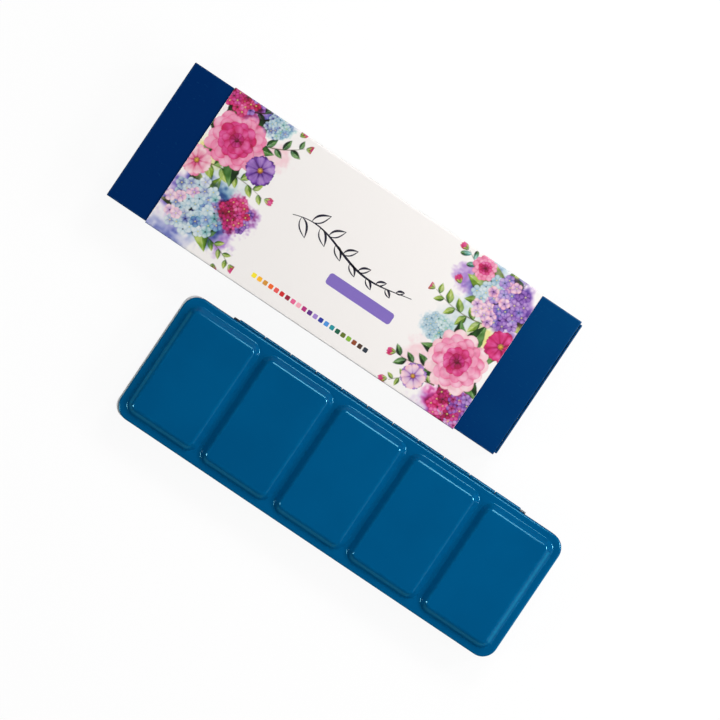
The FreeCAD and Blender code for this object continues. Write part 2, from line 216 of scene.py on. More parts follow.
@dataclass(frozen=True)
class Plan:
    """A rounded rectangle that a piece's rings are drawn from.

    A ring further in has a smaller corner: smaller by the inset times `taper`. `folds` marks the
    corners as folded edges, which wear.
    """

    middle: Flat
    half: Flat
    corner: float
    taper: float = 1.0
    folds: bool = False
    steps: int = 8
    splits: tuple[int, int] = (0, 0)
    support: float = 0.5
    fold_reach: float = 1.5

    @classmethod
    def across(
        cls, box: Sequence[Sequence[float]], corner: float, lie: Lie = Lie.UPRIGHT, **rest: object
    ) -> "Plan":
        """Draw the plan that fills a box.

        Args:
            box: The box's lowest and highest corners.
            corner: The radius of the plan's corners.
            lie: Which way the section runs.
            **rest: The plan's other fields.

        Returns:
            The plan.
        """
        sides = [(box[0][axis], box[1][axis]) for axis in lie.value[:2]]
        middle = tuple((low + high) / 2 for low, high in sides)
        return cls(middle, tuple((high - low) / 2 for low, high in sides), corner, **rest)

    def outline(self, inset: float) -> list[tuple[float, float, bool]]:
        """Draw the ring at an inset, anticlockwise.

        Args:
            inset: How far inside the rectangle the ring lies.

        Returns:
            Its points, each with whether it is on a folded corner.
        """
        corner = max(self.corner - inset * self.taper, 0.03)
        reach = [half - inset for half in self.half]
        support = min(self.support, (min(reach) - corner) / 2)
        arcs = []
        for quarter, (side_x, side_y) in enumerate(((1, 1), (-1, 1), (-1, -1), (1, -1))):
            middle = Vector((side_x * (reach[0] - corner), side_y * (reach[1] - corner)))
            angles = [(quarter + step / self.steps) * math.pi / 2 for step in range(self.steps + 1)]
            arc = [middle + corner * Vector((math.cos(a), math.sin(a))) for a in angles]
            before = arc[0] + support * Vector((math.sin(angles[0]), -math.cos(angles[0])))
            after = arc[-1] + support * Vector((-math.sin(angles[-1]), math.cos(angles[-1])))
            worn = self.folds and inset < self.fold_reach
            arcs.append([(before, False), *((spot, worn) for spot in arc), (after, False)])
        points = []
        for quarter, arc in enumerate(arcs):
            points += arc
            ahead, splits = arcs[(quarter + 1) % 4][0][0], self.splits[quarter % 2]
            points += [
                (arc[-1][0].lerp(ahead, (part + 1) / (splits + 1)), False) for part in range(splits)
            ]
        return [(self.middle[0] + p.x, self.middle[1] + p.y, fold) for p, fold in points]


@dataclass
class Shell:
    """Collects the points and faces of one piece and makes its mesh."""

    name: str
    lie: Lie = Lie.UPRIGHT
    points: list[Spot] = field(default_factory=list)
    edges: list[float] = field(default_factory=list)
    faces: list[tuple[int, ...]] = field(default_factory=list)
    finish: list[int] = field(default_factory=list)

    def add_point(self, spot: Spot, edge: float = 0.0) -> int:
        """Add a point.

        Args:
            spot: Where it is.
            edge: How far it counts as an edge that wears, 0 to 1.

        Returns:
            Its number.
        """
        self.points.append(spot)
        self.edges.append(edge)
        return len(self.points) - 1

    def add_face(self, corners: Sequence[int], finish: int = 0) -> None:
        """Add a face with a finish."""
        self.faces.append(tuple(corners))
        self.finish.append(finish)

    def ring(self, plan: Plan, step: Step) -> list[int]:
        """Add one ring of a plan at a step of a section, and give its points."""
        return [
            self.add_point(self.lie.place(x, y, step.height), float(step.rounded or fold))
            for x, y, fold in plan.outline(step.inset)
        ]

    def loft(self, rings: Sequence[Sequence[int]], finish: int = 0) -> None:
        """Add the faces between each ring and the next, which has as many points.

        Args:
            rings: The rings in order.
            finish: The finish of the faces.
        """
        for low, high in zip(rings, rings[1:]):
            for place in range(len(low)):
                after = (place + 1) % len(low)
                self.add_face((low[place], low[after], high[after], high[place]), finish)

    def wall(self, plan: Plan, path: Sequence[Step], finish: int = 0) -> list[list[int]]:
        """Carry a plan along a section.

        Args:
            plan: The plan that gives the rings.
            path: The section.
            finish: The finish of the faces.

        Returns:
            The rings, in the section's order.
        """
        rings = [self.ring(plan, step) for step in path]
        self.loft(rings, finish)
        return rings

    def cap(self, rings: Sequence[Sequence[int]], finishes: tuple[int, int] = (0, 0)) -> None:
        """Close the first and the last of the rings."""
        self.add_face(rings[0], finishes[0])
        self.add_face(rings[-1], finishes[1])

    def solid(self, plan: Plan, path: Sequence[Step]) -> None:
        """Carry a plan along a section and close both ends."""
        self.cap(self.wall(plan, path))

    def plate(self, outside: Sequence[int], holes: Sequence[Sequence[int]], finish: int) -> None:
        """Fill the flat part between a ring and the rings inside it.

        Args:
            outside: The ring round the plate.
            holes: The rings that are left open.
            finish: The finish of the faces.
        """
        rings = [outside, *holes]
        known = [number for ring in rings for number in ring]
        owner = [place for place, ring in enumerate(rings) for _ in ring]
        spots = [Vector(self.points[number][:2]) for number in known]
        borders, start = [], 0
        for ring in rings:
            borders += [(start + i, start + (i + 1) % len(ring)) for i in range(len(ring))]
            start += len(ring)
        made = delaunay_2d_cdt(spots, borders, [], 1, 1e-5, True)
        for corners in made[2]:
            sources = [made[3][corner][0] for corner in corners]
            within = {owner[source] for source in sources}
            if len(within) > 1 or 0 in within:
                self.add_face([known[source] for source in sources], finish)

    def make(self, finishes: Sequence[Material], crease: float = CREASE) -> Piece:
        """Make the piece's object.

        Args:
            finishes: Its materials, in the order of the face finishes.
            crease: The angle in degrees past which an edge stays sharp.

        Returns:
            The object, at the origin, with its place in its mesh.
        """
        mesh = bpy.data.meshes.new(self.name)
        mesh.from_pydata([tuple(c * MM for c in spot) for spot in self.points], [], self.faces)
        mesh.polygons.foreach_set("material_index", self.finish)
        mesh.attributes.new("edge", "FLOAT", "POINT").data.foreach_set("value", self.edges)
        work = bmesh.new()
        work.from_mesh(mesh)
        bmesh.ops.remove_doubles(work, verts=work.verts, dist=1e-7)
        bmesh.ops.recalc_face_normals(work, faces=work.faces)
        work.to_mesh(mesh)
        work.free()
        shade(mesh, crease)
        for finish in finishes:
            mesh.materials.append(finish)
        return new_object(self.name, mesh)


def shade(mesh: Mesh, crease: float = CREASE) -> None:
    """Shade a mesh smoothly.

    Args:
        mesh: The mesh.
        crease: The angle in degrees past which an edge stays sharp.
    """
    mesh.polygons.foreach_set("use_smooth", [True] * len(mesh.polygons))
    mesh.set_sharp_from_angle(angle=math.radians(crease))
    mesh.update()


def take_on(piece: Piece, other: Piece) -> None:
    """Add another piece's mesh to a piece, and drop the other.

    Args:
        piece: The piece that grows.
        other: The piece that is added, with a finish that the first one has first.
    """
    work = bmesh.new()
    work.from_mesh(piece.data)
    work.from_mesh(other.data)
    work.to_mesh(piece.data)
    work.free()
    shade(piece.data)
    bpy.data.objects.remove(other)


def bake_modifiers(piece: Piece) -> None:
    """Turn a piece and its modifiers into one plain mesh.

    Args:
        piece: The piece.
    """
    graph = bpy.context.evaluated_depsgraph_get()
    mesh = bpy.data.meshes.new_from_object(
        piece.evaluated_get(graph), preserve_all_data_layers=True, depsgraph=graph
    )
    piece.modifiers.clear()
    piece.data = mesh


def cut_away(piece: Piece, blocks: Iterable[tuple[Spot, Spot]]) -> None:
    """Cut blocks out of a piece.

    Args:
        piece: The piece to cut.
        blocks: Each block's lowest and highest corners.
    """
    cutter = Shell(piece.name + "_cutter")
    for block in blocks:
        plan = Plan.across(block, 0.05, steps=1, support=0.02)
        cutter.solid(plan, [Step(0, corner[2]) for corner in block])
    tool = cutter.make([])
    cut = piece.modifiers.new("cut", "BOOLEAN")
    cut.operation, cut.solver, cut.object = "DIFFERENCE", "EXACT", tool
    bake_modifiers(piece)
    bpy.data.objects.remove(tool)
    shade(piece.data)


# ---- node trees --------------------------------------------------------------------------------


class Wiring:
    """A short way to add nodes to a tree and join them."""

    def __init__(self, tree: Tree) -> None:
        """Work on a tree."""
        self.tree = tree
        self.link = tree.links.new

    def fill(self, node: Node, **inputs: object) -> None:
        """Set a node's inputs.

        Args:
            node: The node.
            **inputs: Its inputs by name, with "_" for a space, or "i" and a number by order.
                A socket is linked, anything else is a value. A colour goes without its alpha.
        """
        for name, value in inputs.items():
            by_order = name[0] == "i" and name[1:].isdigit()
            socket = node.inputs[int(name[1:]) if by_order else name.replace("_", " ")]
            if isinstance(value, Socket):
                self.link(value, socket)
            else:
                socket.default_value = (*value, 1.0) if socket.type == "RGBA" else value

    def add(self, kind: str, settings: dict | None = None, **inputs: object) -> Node:
        """Add a node.

        Args:
            kind: The node's type.
            settings: The node's own properties.
            **inputs: Its inputs, as in `fill`.

        Returns:
            The node.
        """
        node = self.tree.nodes.new(kind)
        for name, value in (settings or {}).items():
            setattr(node, name, value)
        self.fill(node, **inputs)
        return node

    def maths(self, operation: str, *values: object) -> Socket:
        """Add a Math node and give its output."""
        inputs = {f"i{place}": value for place, value in enumerate(values)}
        return self.add("ShaderNodeMath", {"operation": operation}, **inputs).outputs[0]

    def noise(self, **inputs: object) -> Socket:
        """Add a Noise Texture, in four dimensions where it has a W, and give its value."""
        settings = {"noise_dimensions": "4D" if "W" in inputs else "3D"}
        return self.add("ShaderNodeTexNoise", settings, **inputs).outputs["Fac"]

    def place(self) -> Socket:
        """Give the place on the piece."""
        return self.add("ShaderNodeTexCoord").outputs["Object"]

    def ramp(self, value: Socket, low: float, high: float) -> Socket:
        """Give a value that goes smoothly from 0 at low to 1 at high."""
        settings = {"interpolation_type": "SMOOTHSTEP"}
        return self.add("ShaderNodeMapRange", settings, Value=value, From_Min=low, From_Max=high).outputs[0]

    def mix(self, share: object, first: object, second: object) -> Socket:
        """Mix two colours by a share and give the result."""
        settings = {"data_type": "RGBA", "clamp_factor": True}
        return self.add("ShaderNodeMix", settings, i0=share, i6=first, i7=second).outputs[2]

    def either(self, share: object, first: Node, second: Node) -> Node:
        """Mix two shaders by a share and give the node."""
        shaders = {"i1": first.outputs[0], "i2": second.outputs[0]}
        return self.add("ShaderNodeMixShader", i0=share, **shaders)


def new_tree(
    name: str, kind: str, inputs: dict[str, str], outputs: dict[str, str]
) -> tuple[Wiring, Sockets, Node]:
    """Start a node group.

    Args:
        name: The group's name.
        kind: "Geometry" or "Shader".
        inputs: The name and the type of each input.
        outputs: The name and the type of each output.

    Returns:
        The group's wiring, its inputs and its output node.
    """
    tree = bpy.data.node_groups.new(name, f"{kind}NodeTree")
    for sockets, way in ((inputs, "INPUT"), (outputs, "OUTPUT")):
        for label, type_name in sockets.items():
            tree.interface.new_socket(label, in_out=way, socket_type=f"NodeSocket{type_name}")
    wire = Wiring(tree)
    return wire, wire.add("NodeGroupInput").outputs, wire.add("NodeGroupOutput")


def shape_tree(name: str, **inputs: str) -> tuple[Wiring, Sockets, Node]:
    """Start a Geometry Nodes tree that ends by making its shape real and giving it a finish.

    Args:
        name: The tree's name.
        **inputs: The name and the type of each input after the geometry.

    Returns:
        The tree's wiring, its inputs, and the node that the shape goes to.
    """
    inputs = {"Geometry": "Geometry", **inputs, "Finish": "Material"}
    wire, given, out = new_tree(name, "Geometry", inputs, {"Geometry": "Geometry"})
    real = wire.add("GeometryNodeRealizeInstances")
    dressed = wire.add(
        "GeometryNodeSetMaterial", Geometry=real.outputs[0], Material=given["Finish"]
    )
    wire.fill(out, Geometry=dressed.outputs[0])
    return wire, given, real


def row_tree() -> Tree:
    """Make the tree that repeats a piece along a straight row.

    Returns:
        The tree.
    """
    wire, given, end = shape_tree("row_of_copies", Count="Int", Step="Vector")
    row = wire.add("GeometryNodeMeshLine", Count=given["Count"], Offset=given["Step"])
    copies = wire.add(
        "GeometryNodeInstanceOnPoints", Points=row.outputs["Mesh"], Instance=given["Geometry"]
    )
    wire.fill(end, Geometry=copies.outputs["Instances"])
    return wire.tree


def dried_tree() -> Tree:
    """Make the tree that lets a poured surface dry unevenly: it sinks in soft hollows and pits.

    Returns:
        The tree.
    """
    wire, given, end = shape_tree("dried_surface", Hollow="Float", Pits="Float", Seed="Float")
    depths = []
    for scale, amount in ((70.0, given["Hollow"]), (420.0, given["Pits"])):
        centred = wire.maths("SUBTRACT", wire.noise(Scale=scale, W=given["Seed"]), 0.5)
        depths.append(wire.maths("MULTIPLY", centred, amount))
    free = wire.add("GeometryNodeInputNamedAttribute", {"data_type": "FLOAT"}, Name="free")
    held = wire.maths("MULTIPLY", wire.maths("ADD", *depths), free.outputs["Attribute"])
    lift = wire.add("ShaderNodeCombineXYZ", Z=held).outputs[0]
    moved = wire.add("GeometryNodeSetPosition", Geometry=given["Geometry"], Offset=lift)
    wire.fill(end, Geometry=moved.outputs[0])
    return wire.tree


def grow(piece: Piece, tree: Tree, **settings: object) -> None:
    """Run a Geometry Nodes tree on a piece and keep the plain mesh it makes.

    Args:
        piece: The piece.
        tree: The tree.
        **settings: The tree's inputs by name.
    """
    modifier = piece.modifiers.new(tree.name, "NODES")
    modifier.node_group = tree
    for item in tree.interface.items_tree:
        if item.in_out == "INPUT" and item.name in settings:
            modifier[item.identifier] = settings[item.name]
    bake_modifiers(piece)


def grain_group() -> Tree:
    """Make the group for fine surface grain, which can be stretched along X.

    Returns:
        The group.
    """
    wire, given, out = new_tree(
        "fine_grain", "Shader", {"Scale": "Float", "Stretch": "Vector", "Detail": "Float"},
        {"Height": "Float", "Cloud": "Float"},
    )
    place = wire.place()
    stretched = wire.add("ShaderNodeMapping", Vector=place, Scale=given["Stretch"]).outputs[0]
    fine = {"Vector": stretched, "Scale": given["Scale"], "Detail": given["Detail"]}
    wire.fill(
        out, Height=wire.noise(**fine, Roughness=0.6),
        Cloud=wire.noise(Vector=place, Scale=28.0, Detail=3.0, Roughness=0.5),
    )
    return wire.tree


def wear_group() -> Tree:
    """Make the group for edge wear: a folded or rounded edge shows another colour in places.

    Returns:
        The group.
    """
    wire, given, out = new_tree(
        "edge_wear", "Shader", {"Colour": "Color", "Worn": "Color", "Amount": "Float"},
        {"Colour": "Color"},
    )
    edge = wire.add("ShaderNodeAttribute", {"attribute_name": "edge"}).outputs["Fac"]
    patches = wire.noise(Vector=wire.place(), Scale=260.0, Detail=5.0, Roughness=0.7)
    worn = wire.maths("MULTIPLY", wire.ramp(edge, 0.45, 1.0), wire.ramp(patches, 0.35, 0.7))
    mask = wire.maths("MULTIPLY", worn, given["Amount"])
    wire.fill(out, Colour=wire.mix(mask, given["Colour"], given["Worn"]))
    return wire.tree


def pigment_group() -> Tree:
    """Make the group for dried pigment: clouded colour, specks of grain and fine drying cracks.

    Returns:
        The group.
    """
    wire, given, out = new_tree(
        "dried_pigment", "Shader", {"Colour": "Color", "Deep": "Color", "Seed": "Float"},
        {"Colour": "Color", "Height": "Float", "Rough": "Float"},
    )
    where = {"Vector": wire.place(), "W": given["Seed"]}
    cloud = wire.noise(**where, Scale=150.0, Detail=4.0)
    specks = wire.noise(**where, Scale=2600.0, Detail=2.0)
    cells = wire.add(
        "ShaderNodeTexVoronoi", {"voronoi_dimensions": "4D", "feature": "DISTANCE_TO_EDGE"},
        **where, Scale=110.0,
    )
    whole = wire.maths("SUBTRACT", 1.0, wire.ramp(cloud, 0.52, 0.62))
    uncracked = wire.maths("MAXIMUM", wire.ramp(cells.outputs["Distance"], 0.0, 0.035), whole)
    cracked = wire.maths("SUBTRACT", 1.0, uncracked)
    dark = wire.maths("MAXIMUM", wire.maths("MULTIPLY_ADD", cloud, 0.9, -0.1), cracked)
    wire.fill(
        out, Colour=wire.mix(dark, given["Colour"], given["Deep"]),
        Height=wire.maths("MULTIPLY_ADD", specks, 0.25, uncracked),
        Rough=wire.maths("MULTIPLY_ADD", cloud, 0.5, 0.15),
    )
    return wire.tree


ROW, DRIED = row_tree(), dried_tree()
GRAIN, WEAR, PIGMENT = grain_group(), wear_group(), pigment_group()


# ---- finishes ----------------------------------------------------------------------------------


class Surface(Wiring):
    """A material in the making."""

    def __init__(self, name: str) -> None:
        """Start a material.

        Args:
            name: Its name.
        """
        self.material = bpy.data.materials.new(name)
        self.material.use_nodes = True
        super().__init__(self.material.node_tree)
        self.shader = self.tree.nodes["Principled BSDF"]

    def group(self, group: Tree, **inputs: object) -> Sockets:
        """Place a shader group with this material's own values and give its outputs."""
        return self.add("ShaderNodeGroup", {"node_tree": group}, **inputs).outputs

    def grain(self, scale: float, stretch: float, detail: float) -> Sockets:
        """Place the fine grain and give its outputs."""
        return self.group(GRAIN, Scale=scale, Stretch=(stretch, 1.0, 1.0), Detail=detail)

    def worn(self, tone: Socket, worn: Colour, amount: float) -> Socket:
        """Wear a colour's edges and give the result."""
        return self.group(WEAR, Colour=tone, Worn=worn, Amount=amount)["Colour"]

    def complete(self, height: Socket, depth: float, **inputs: object) -> Material:
        """Set the shader's inputs.

        Args:
            height: The height map of the relief.
            depth: How deep the relief is, in millimetres.
            **inputs: The shader's other inputs, as in `fill`.

        Returns:
            The material.
        """
        relief = self.add("ShaderNodeBump", Height=height, Distance=depth * MM, Strength=1.0)
        self.fill(self.shader, Normal=relief.outputs["Normal"], **inputs)
        return self.material


@dataclass(frozen=True)
class Enamel:
    """Stoved enamel on pressed steel: glossy, with a faint orange peel and clouded tone."""

    name: str
    colour: Colour
    clouded: Colour
    thin: Colour
    sheen: Colour = (1.0, 1.0, 1.0)
    gloss: float = 0.12
    peel: float = 0.003
    wear: float = 0.25

    def make(self) -> Material:
        """Make the material.

        Returns:
            The material.
        """
        work = Surface(self.name)
        grain = work.grain(900.0, 1.0, 2.0)
        tone = work.mix(work.ramp(grain["Cloud"], 0.3, 0.7), self.colour, self.clouded)
        return work.complete(
            grain["Height"], self.peel, Base_Color=work.worn(tone, self.thin, self.wear),
            Roughness=work.maths("MULTIPLY_ADD", grain["Height"], 0.08, self.gloss - 0.04),
            Specular_Tint=self.sheen,
        )


@dataclass(frozen=True)
class Steel:
    """Drawn steel wire: bright, with fine lines along it."""

    name: str
    colour: Colour
    dull: Colour

    def make(self) -> Material:
        """Make the material.

        Returns:
            The material.
        """
        work = Surface(self.name)
        lines = work.grain(1500.0, 0.05, 3.0)["Height"]
        return work.complete(
            lines, 0.01, Base_Color=work.mix(lines, self.colour, self.dull),
            Roughness=work.maths("MULTIPLY_ADD", lines, 0.3, 0.15), Metallic=1.0,
        )


@dataclass(frozen=True)
class Plastic:
    """Moulded white plastic: half gloss, a little milky, with flow marks."""

    name: str
    colour: Colour
    shadow: Colour

    def make(self) -> Material:
        """Make the material.

        Returns:
            The material.
        """
        work = Surface(self.name)
        grain = work.grain(700.0, 0.4, 3.0)
        return work.complete(
            grain["Height"], 0.006, Base_Color=work.mix(grain["Cloud"], self.colour, self.shadow),
            Roughness=work.maths("MULTIPLY_ADD", grain["Height"], 0.2, 0.24),
        )


@dataclass(frozen=True)
class Paint:
    """Dried watercolor in a pan."""

    name: str
    colour: Colour
    seed: float
    contrast: float = 1.25
    depth: float = 0.62
    relief: float = 0.06

    def make(self) -> Material:
        """Make the material.

        Returns:
            The material.
        """
        work = Surface(self.name)
        deep = tuple(channel**self.contrast * self.depth for channel in self.colour)
        pigment = work.group(PIGMENT, Colour=self.colour, Deep=deep, Seed=self.seed)
        colours = {"Base_Color": pigment["Colour"], "Roughness": pigment["Rough"]}
        return work.complete(pigment["Height"], self.relief, **colours)


@dataclass(frozen=True)
class Board:
    """Carton board: a satin coloured wrap, or the bare board, with fibres and worn folds.

    Its colour goes to the clouded one in random clouds, and also steadily along a given way from `start`: a
    painted sheen, which on the case lights its right end and its back.
    """

    name: str
    colour: Colour
    clouded: Colour
    worn: Colour
    wear: float
    gloss: float
    fibre: float
    sheen: Colour = (1.0, 1.0, 1.0)
    # The way along which the painted sheen grows, per metre; none by default.
    painted_sheen_way: Spot = (0.0, 0.0, 0.0)
    start: float = 0.0

    def make(self) -> Material:
        """Make the material.

        Returns:
            The material.
        """
        work = Surface(self.name)
        grain = work.grain(1100.0, 0.35, 4.0)
        settings = {"operation": "DOT_PRODUCT"}
        # Painted sheen: the tone goes lighter along the sheen's way, over the random clouds.
        along = work.add("ShaderNodeVectorMath", settings, i0=work.place(), i1=self.painted_sheen_way)
        cloud = work.maths("MULTIPLY_ADD", grain["Cloud"], 0.5, along.outputs["Value"])
        tone = work.mix(work.maths("ADD", cloud, self.start), self.colour, self.clouded)
        return work.complete(
            grain["Height"], self.fibre, Base_Color=work.worn(tone, self.worn, self.wear),
            Roughness=work.maths("MULTIPLY_ADD", grain["Height"], 0.16, self.gloss - 0.08),
            Specular_IOR_Level=0.22, Specular_Tint=self.sheen,
        )


@dataclass(frozen=True)
class Printed:
    """Printed card: the ink colours are painted on the piece, over satin paper."""

    name: str
    worn: Colour

    def make(self) -> Material:
        """Make the material.

        Returns:
            The material.
        """
        work = Surface(self.name)
        paint = work.add("ShaderNodeAttribute", {"attribute_name": "paint"}).outputs["Color"]
        grain = work.grain(1600.0, 0.5, 4.0)["Height"]
        fleck = work.maths("MULTIPLY", work.ramp(grain, 0.62, 0.85), 0.12)
        inked = work.mix(fleck, paint, self.worn)
        return work.complete(
            grain, 0.004, Base_Color=work.worn(inked, self.worn, 0.3),
            Roughness=work.maths("MULTIPLY_ADD", grain, 0.2, 0.3), Specular_IOR_Level=0.4,
        )


@dataclass(frozen=True)
class LitTable:
    """The studio's white table, lit from below, so that shadows on it stay faint.

    The gloss of the set sees it dim, as past a black card.
    """

    name: str
    colour: Colour
    shadow: float = 0.99
    lit: float = 0.92
    carded: float = 0.025

    def make(self) -> Material:
        """Make the material.

        Returns:
            The material.
        """
        work = Surface(self.name)
        shadow = tuple(channel * self.shadow for channel in self.colour)
        tone = work.mix(work.grain(500.0, 1.0, 3.0)["Height"], self.colour, shadow)
        work.fill(work.shader, Base_Color=tone, Roughness=0.9)
        glow = work.add("ShaderNodeEmission", Color=(1.0, 1.0, 1.0), Strength=1.0)
        card = work.add("ShaderNodeBsdfDiffuse", Color=[self.carded] * 3)
        ray = work.add("ShaderNodeLightPath").outputs
        seen = work.either(self.lit, work.shader, glow)
        mirrored = work.either(ray["Is Glossy Ray"], work.shader, card)
        both = work.either(ray["Is Camera Ray"], mirrored, seen)
        work.fill(work.tree.nodes["Material Output"], Surface=both.outputs[0])
        return work.material


TEAL = Enamel(
    "teal_enamel", from_screen(0, 78, 124), from_screen(0, 82, 129), from_screen(0, 100, 146),
    sheen=(0.24, 0.8, 1.0),
).make()
WHITE = Enamel(
    "white_enamel", from_screen(228, 228, 226), from_screen(222, 223, 222),
    from_screen(232, 232, 232), gloss=0.2,
).make()
WIRE = Steel("pin_steel", from_screen(150, 152, 156), from_screen(104, 106, 110)).make()
PAN = Plastic("pan_plastic", from_screen(236, 236, 233), from_screen(226, 227, 226)).make()
# The case's wrap has a painted sheen: lighter towards its right end and its back.
NAVY = Board(
    "navy_board", from_screen(0, 37, 90), from_screen(2, 64, 112), from_screen(60, 108, 150),
    wear=0.3, gloss=0.25, fibre=0.0005, sheen=(0.25, 0.7, 1.0), painted_sheen_way=(3.2, 6.0, 0.0), start=-0.32,
).make()
TRAY_NAVY = Board(
    "navy_tray_board", from_screen(0, 52, 98), from_screen(4, 66, 112), from_screen(60, 108, 150),
    wear=0.2, gloss=0.25, fibre=0.0005, sheen=(0.25, 0.7, 1.0),
).make()
BARE_BOARD = Board(
    "bare_board", from_screen(222, 220, 214), from_screen(210, 207, 199), from_screen(196, 190, 178),
    wear=0.4, gloss=0.75, fibre=0.03,
).make()
PRINT = Printed("printed_card", from_screen(244, 241, 240)).make()


# ---- the studio --------------------------------------------------------------------------------


class Use(Enum):
    """What a lamp does: whether it lights the set, and whether the set's gloss shows it."""

    BOTH = (True, True)
    LIGHT = (True, False)
    GLINT = (False, True)


@dataclass
class Studio:
    """The camera, the floor and the lights."""

    aim: Flat = (6.6, 6.0)
    turn: float = 33.92
    lens: float = 200.0
    sensor: float = 36.0
    span: float = 356.4
    level: float = 22.0
    floor_reach: float = 4.0
    floor_drop: float = 0.0002
    lit_spot: Spot = (0.028, -0.03, 0.02)
    pad_colour: Colour = (0.09, 0.56, 0.66)
    room: float = 0.3
    mirrored_room: float = 0.005
    mirrored_horizon: float = 0.07

    def set_camera(self) -> None:
        """Put the camera straight above the set, turned as the set is seen."""
        data = bpy.data.cameras.new("camera")
        data.lens, data.sensor_width = self.lens, self.sensor
        data.clip_start, data.clip_end = 0.05, 20.0
        camera = new_object("camera", data)
        height = self.level + self.span * self.lens / self.sensor
        camera.location = (self.aim[0] * MM, self.aim[1] * MM, height * MM)
        camera.rotation_euler = (0, 0, math.radians(self.turn))
        bpy.context.scene.camera = camera
        bpy.context.scene.view_settings.view_transform = "Standard"

    def lay_floor(self) -> None:
        """Lay the pale table that the set stands on."""
        mesh = bpy.data.meshes.new("floor")
        corners = ((-1, -1), (1, -1), (1, 1), (-1, 1))
        spots = [(x * self.floor_reach, y * self.floor_reach, 0) for x, y in corners]
        mesh.from_pydata(spots, [], [(0, 1, 2, 3)])
        mesh.materials.append(LitTable("lit_table", (0.9, 0.9, 0.9)).make())
        floor = new_object("floor", mesh)
        floor.location.z = -self.floor_drop

    def new_lamp(self, name: str, size: Flat, radiance: float, use: Use) -> Piece:
        """Make a rectangular lamp.

        Args:
            name: Its name.
            size: Its width and its height, in metres.
            radiance: How bright its face is.
            use: What it is for.

        Returns:
            The lamp, still at the origin.
        """
        data = bpy.data.lights.new(name, "AREA")
        data.shape, data.size, data.size_y = "RECTANGLE", *size
        data.energy = radiance * math.pi * size[0] * size[1]
        lamp = new_object(name, data)
        lamp.visible_diffuse, lamp.visible_glossy = use.value
        return lamp

    def hang_softbox(
        self, name: str, azimuth: float, tilt: float, away: float, size: Flat, radiance: float,
        use: Use = Use.BOTH,
    ) -> None:
        """Hang one soft box that faces the set.

        Args:
            name: Its name.
            azimuth: Its direction from the tin, in degrees from +X towards +Y.
            tilt: Its angle from straight up, in degrees.
            away: How far away it is, in metres.
            size: Its width and its height, in metres.
            radiance: How bright its face is.
            use: What it is for.
        """
        lamp = self.new_lamp(name, size, radiance, use)
        around, down = math.radians(azimuth), math.radians(tilt)
        flat = math.sin(down)
        way = Vector((math.cos(around) * flat, math.sin(around) * flat, math.cos(down)))
        lamp.location = Vector(self.lit_spot) + way * away
        lamp.rotation_euler = way.to_track_quat("Z", "Y").to_euler()

    def lay_pad(self, name: str, low: Flat, high: Flat, radiance: float = 1.0) -> None:
        """Lay a sea-green light pad on the table, which only the set's gloss shows.

        Args:
            name: Its name.
            low: Its lowest X and Y, in millimetres.
            high: Its highest X and Y, in millimetres.
            radiance: How bright it is.
        """
        size = tuple((far - near) * MM for near, far in zip(low, high))
        lamp = self.new_lamp(name, size, radiance, Use.GLINT)
        lamp.data.color = self.pad_colour
        middle = ((near + far) / 2 * MM for near, far in zip(low, high))
        lamp.location = (*middle, -self.floor_drop / 2)
        lamp.rotation_euler = (math.pi, 0, 0)
        lamp.visible_camera = False

    def light_up(self) -> None:
        """Hang the lights and set the room's own light, which the set's gloss sees as dark."""
        self.hang_softbox("back_strip", 88, 44, 1.0, (0.275, 0.42), 12.5)
        self.hang_softbox("right_key", 47, 50, 0.95, (0.15, 0.15), 32.0, Use.LIGHT)
        self.hang_softbox("right_glint", 35, 52, 0.95, (0.26, 0.3), 40.0, Use.GLINT)
        self.hang_softbox("left_key", 223, 50, 0.95, (0.13, 0.13), 18.0, Use.LIGHT)
        self.hang_softbox("left_glint", 214, 50, 0.95, (0.24, 0.26), 32.0, Use.GLINT)
        self.hang_softbox("right_card", 3, 76, 0.9, (0.45, 0.5), 0.6)
        self.hang_softbox("right_fill", 5, 54, 1.0, (0.6, 0.4), 5.6, Use.LIGHT)
        self.lay_pad("front_pad", (-330, -330), (200, -87))
        self.lay_pad("left_pad", (-330, -87), (-86, -12))
        self.lay_pad("right_pad", (147, -87), (330, -12), 2.2)
        world = bpy.data.worlds.new("studio")
        world.use_nodes = True
        wire = Wiring(world.node_tree)
        room, out = world.node_tree.nodes["Background"], world.node_tree.nodes["World Output"]
        wire.fill(room, Color=(1.0, 1.0, 1.0), Strength=self.room)
        way = wire.add("ShaderNodeTexCoord").outputs["Generated"]
        up = wire.add("ShaderNodeSeparateXYZ", Vector=way).outputs["Z"]
        low = wire.maths("POWER", wire.maths("SUBTRACT", 1.0, wire.maths("ABSOLUTE", up)), 5.0)
        strength = wire.maths("MULTIPLY_ADD", low, self.mirrored_horizon, self.mirrored_room)
        dim = wire.add("ShaderNodeBackground", Color=(1.0, 1.0, 1.0), Strength=strength)
        mirrored = wire.add("ShaderNodeLightPath").outputs["Is Glossy Ray"]
        wire.fill(out, Surface=wire.either(mirrored, room, dim).outputs[0])
        bpy.context.scene.world = world

    def build(self) -> None:
        """Set up the whole studio."""
        self.set_camera()
        self.lay_floor()
        self.light_up()


# ---- the tin -----------------------------------------------------------------------------------


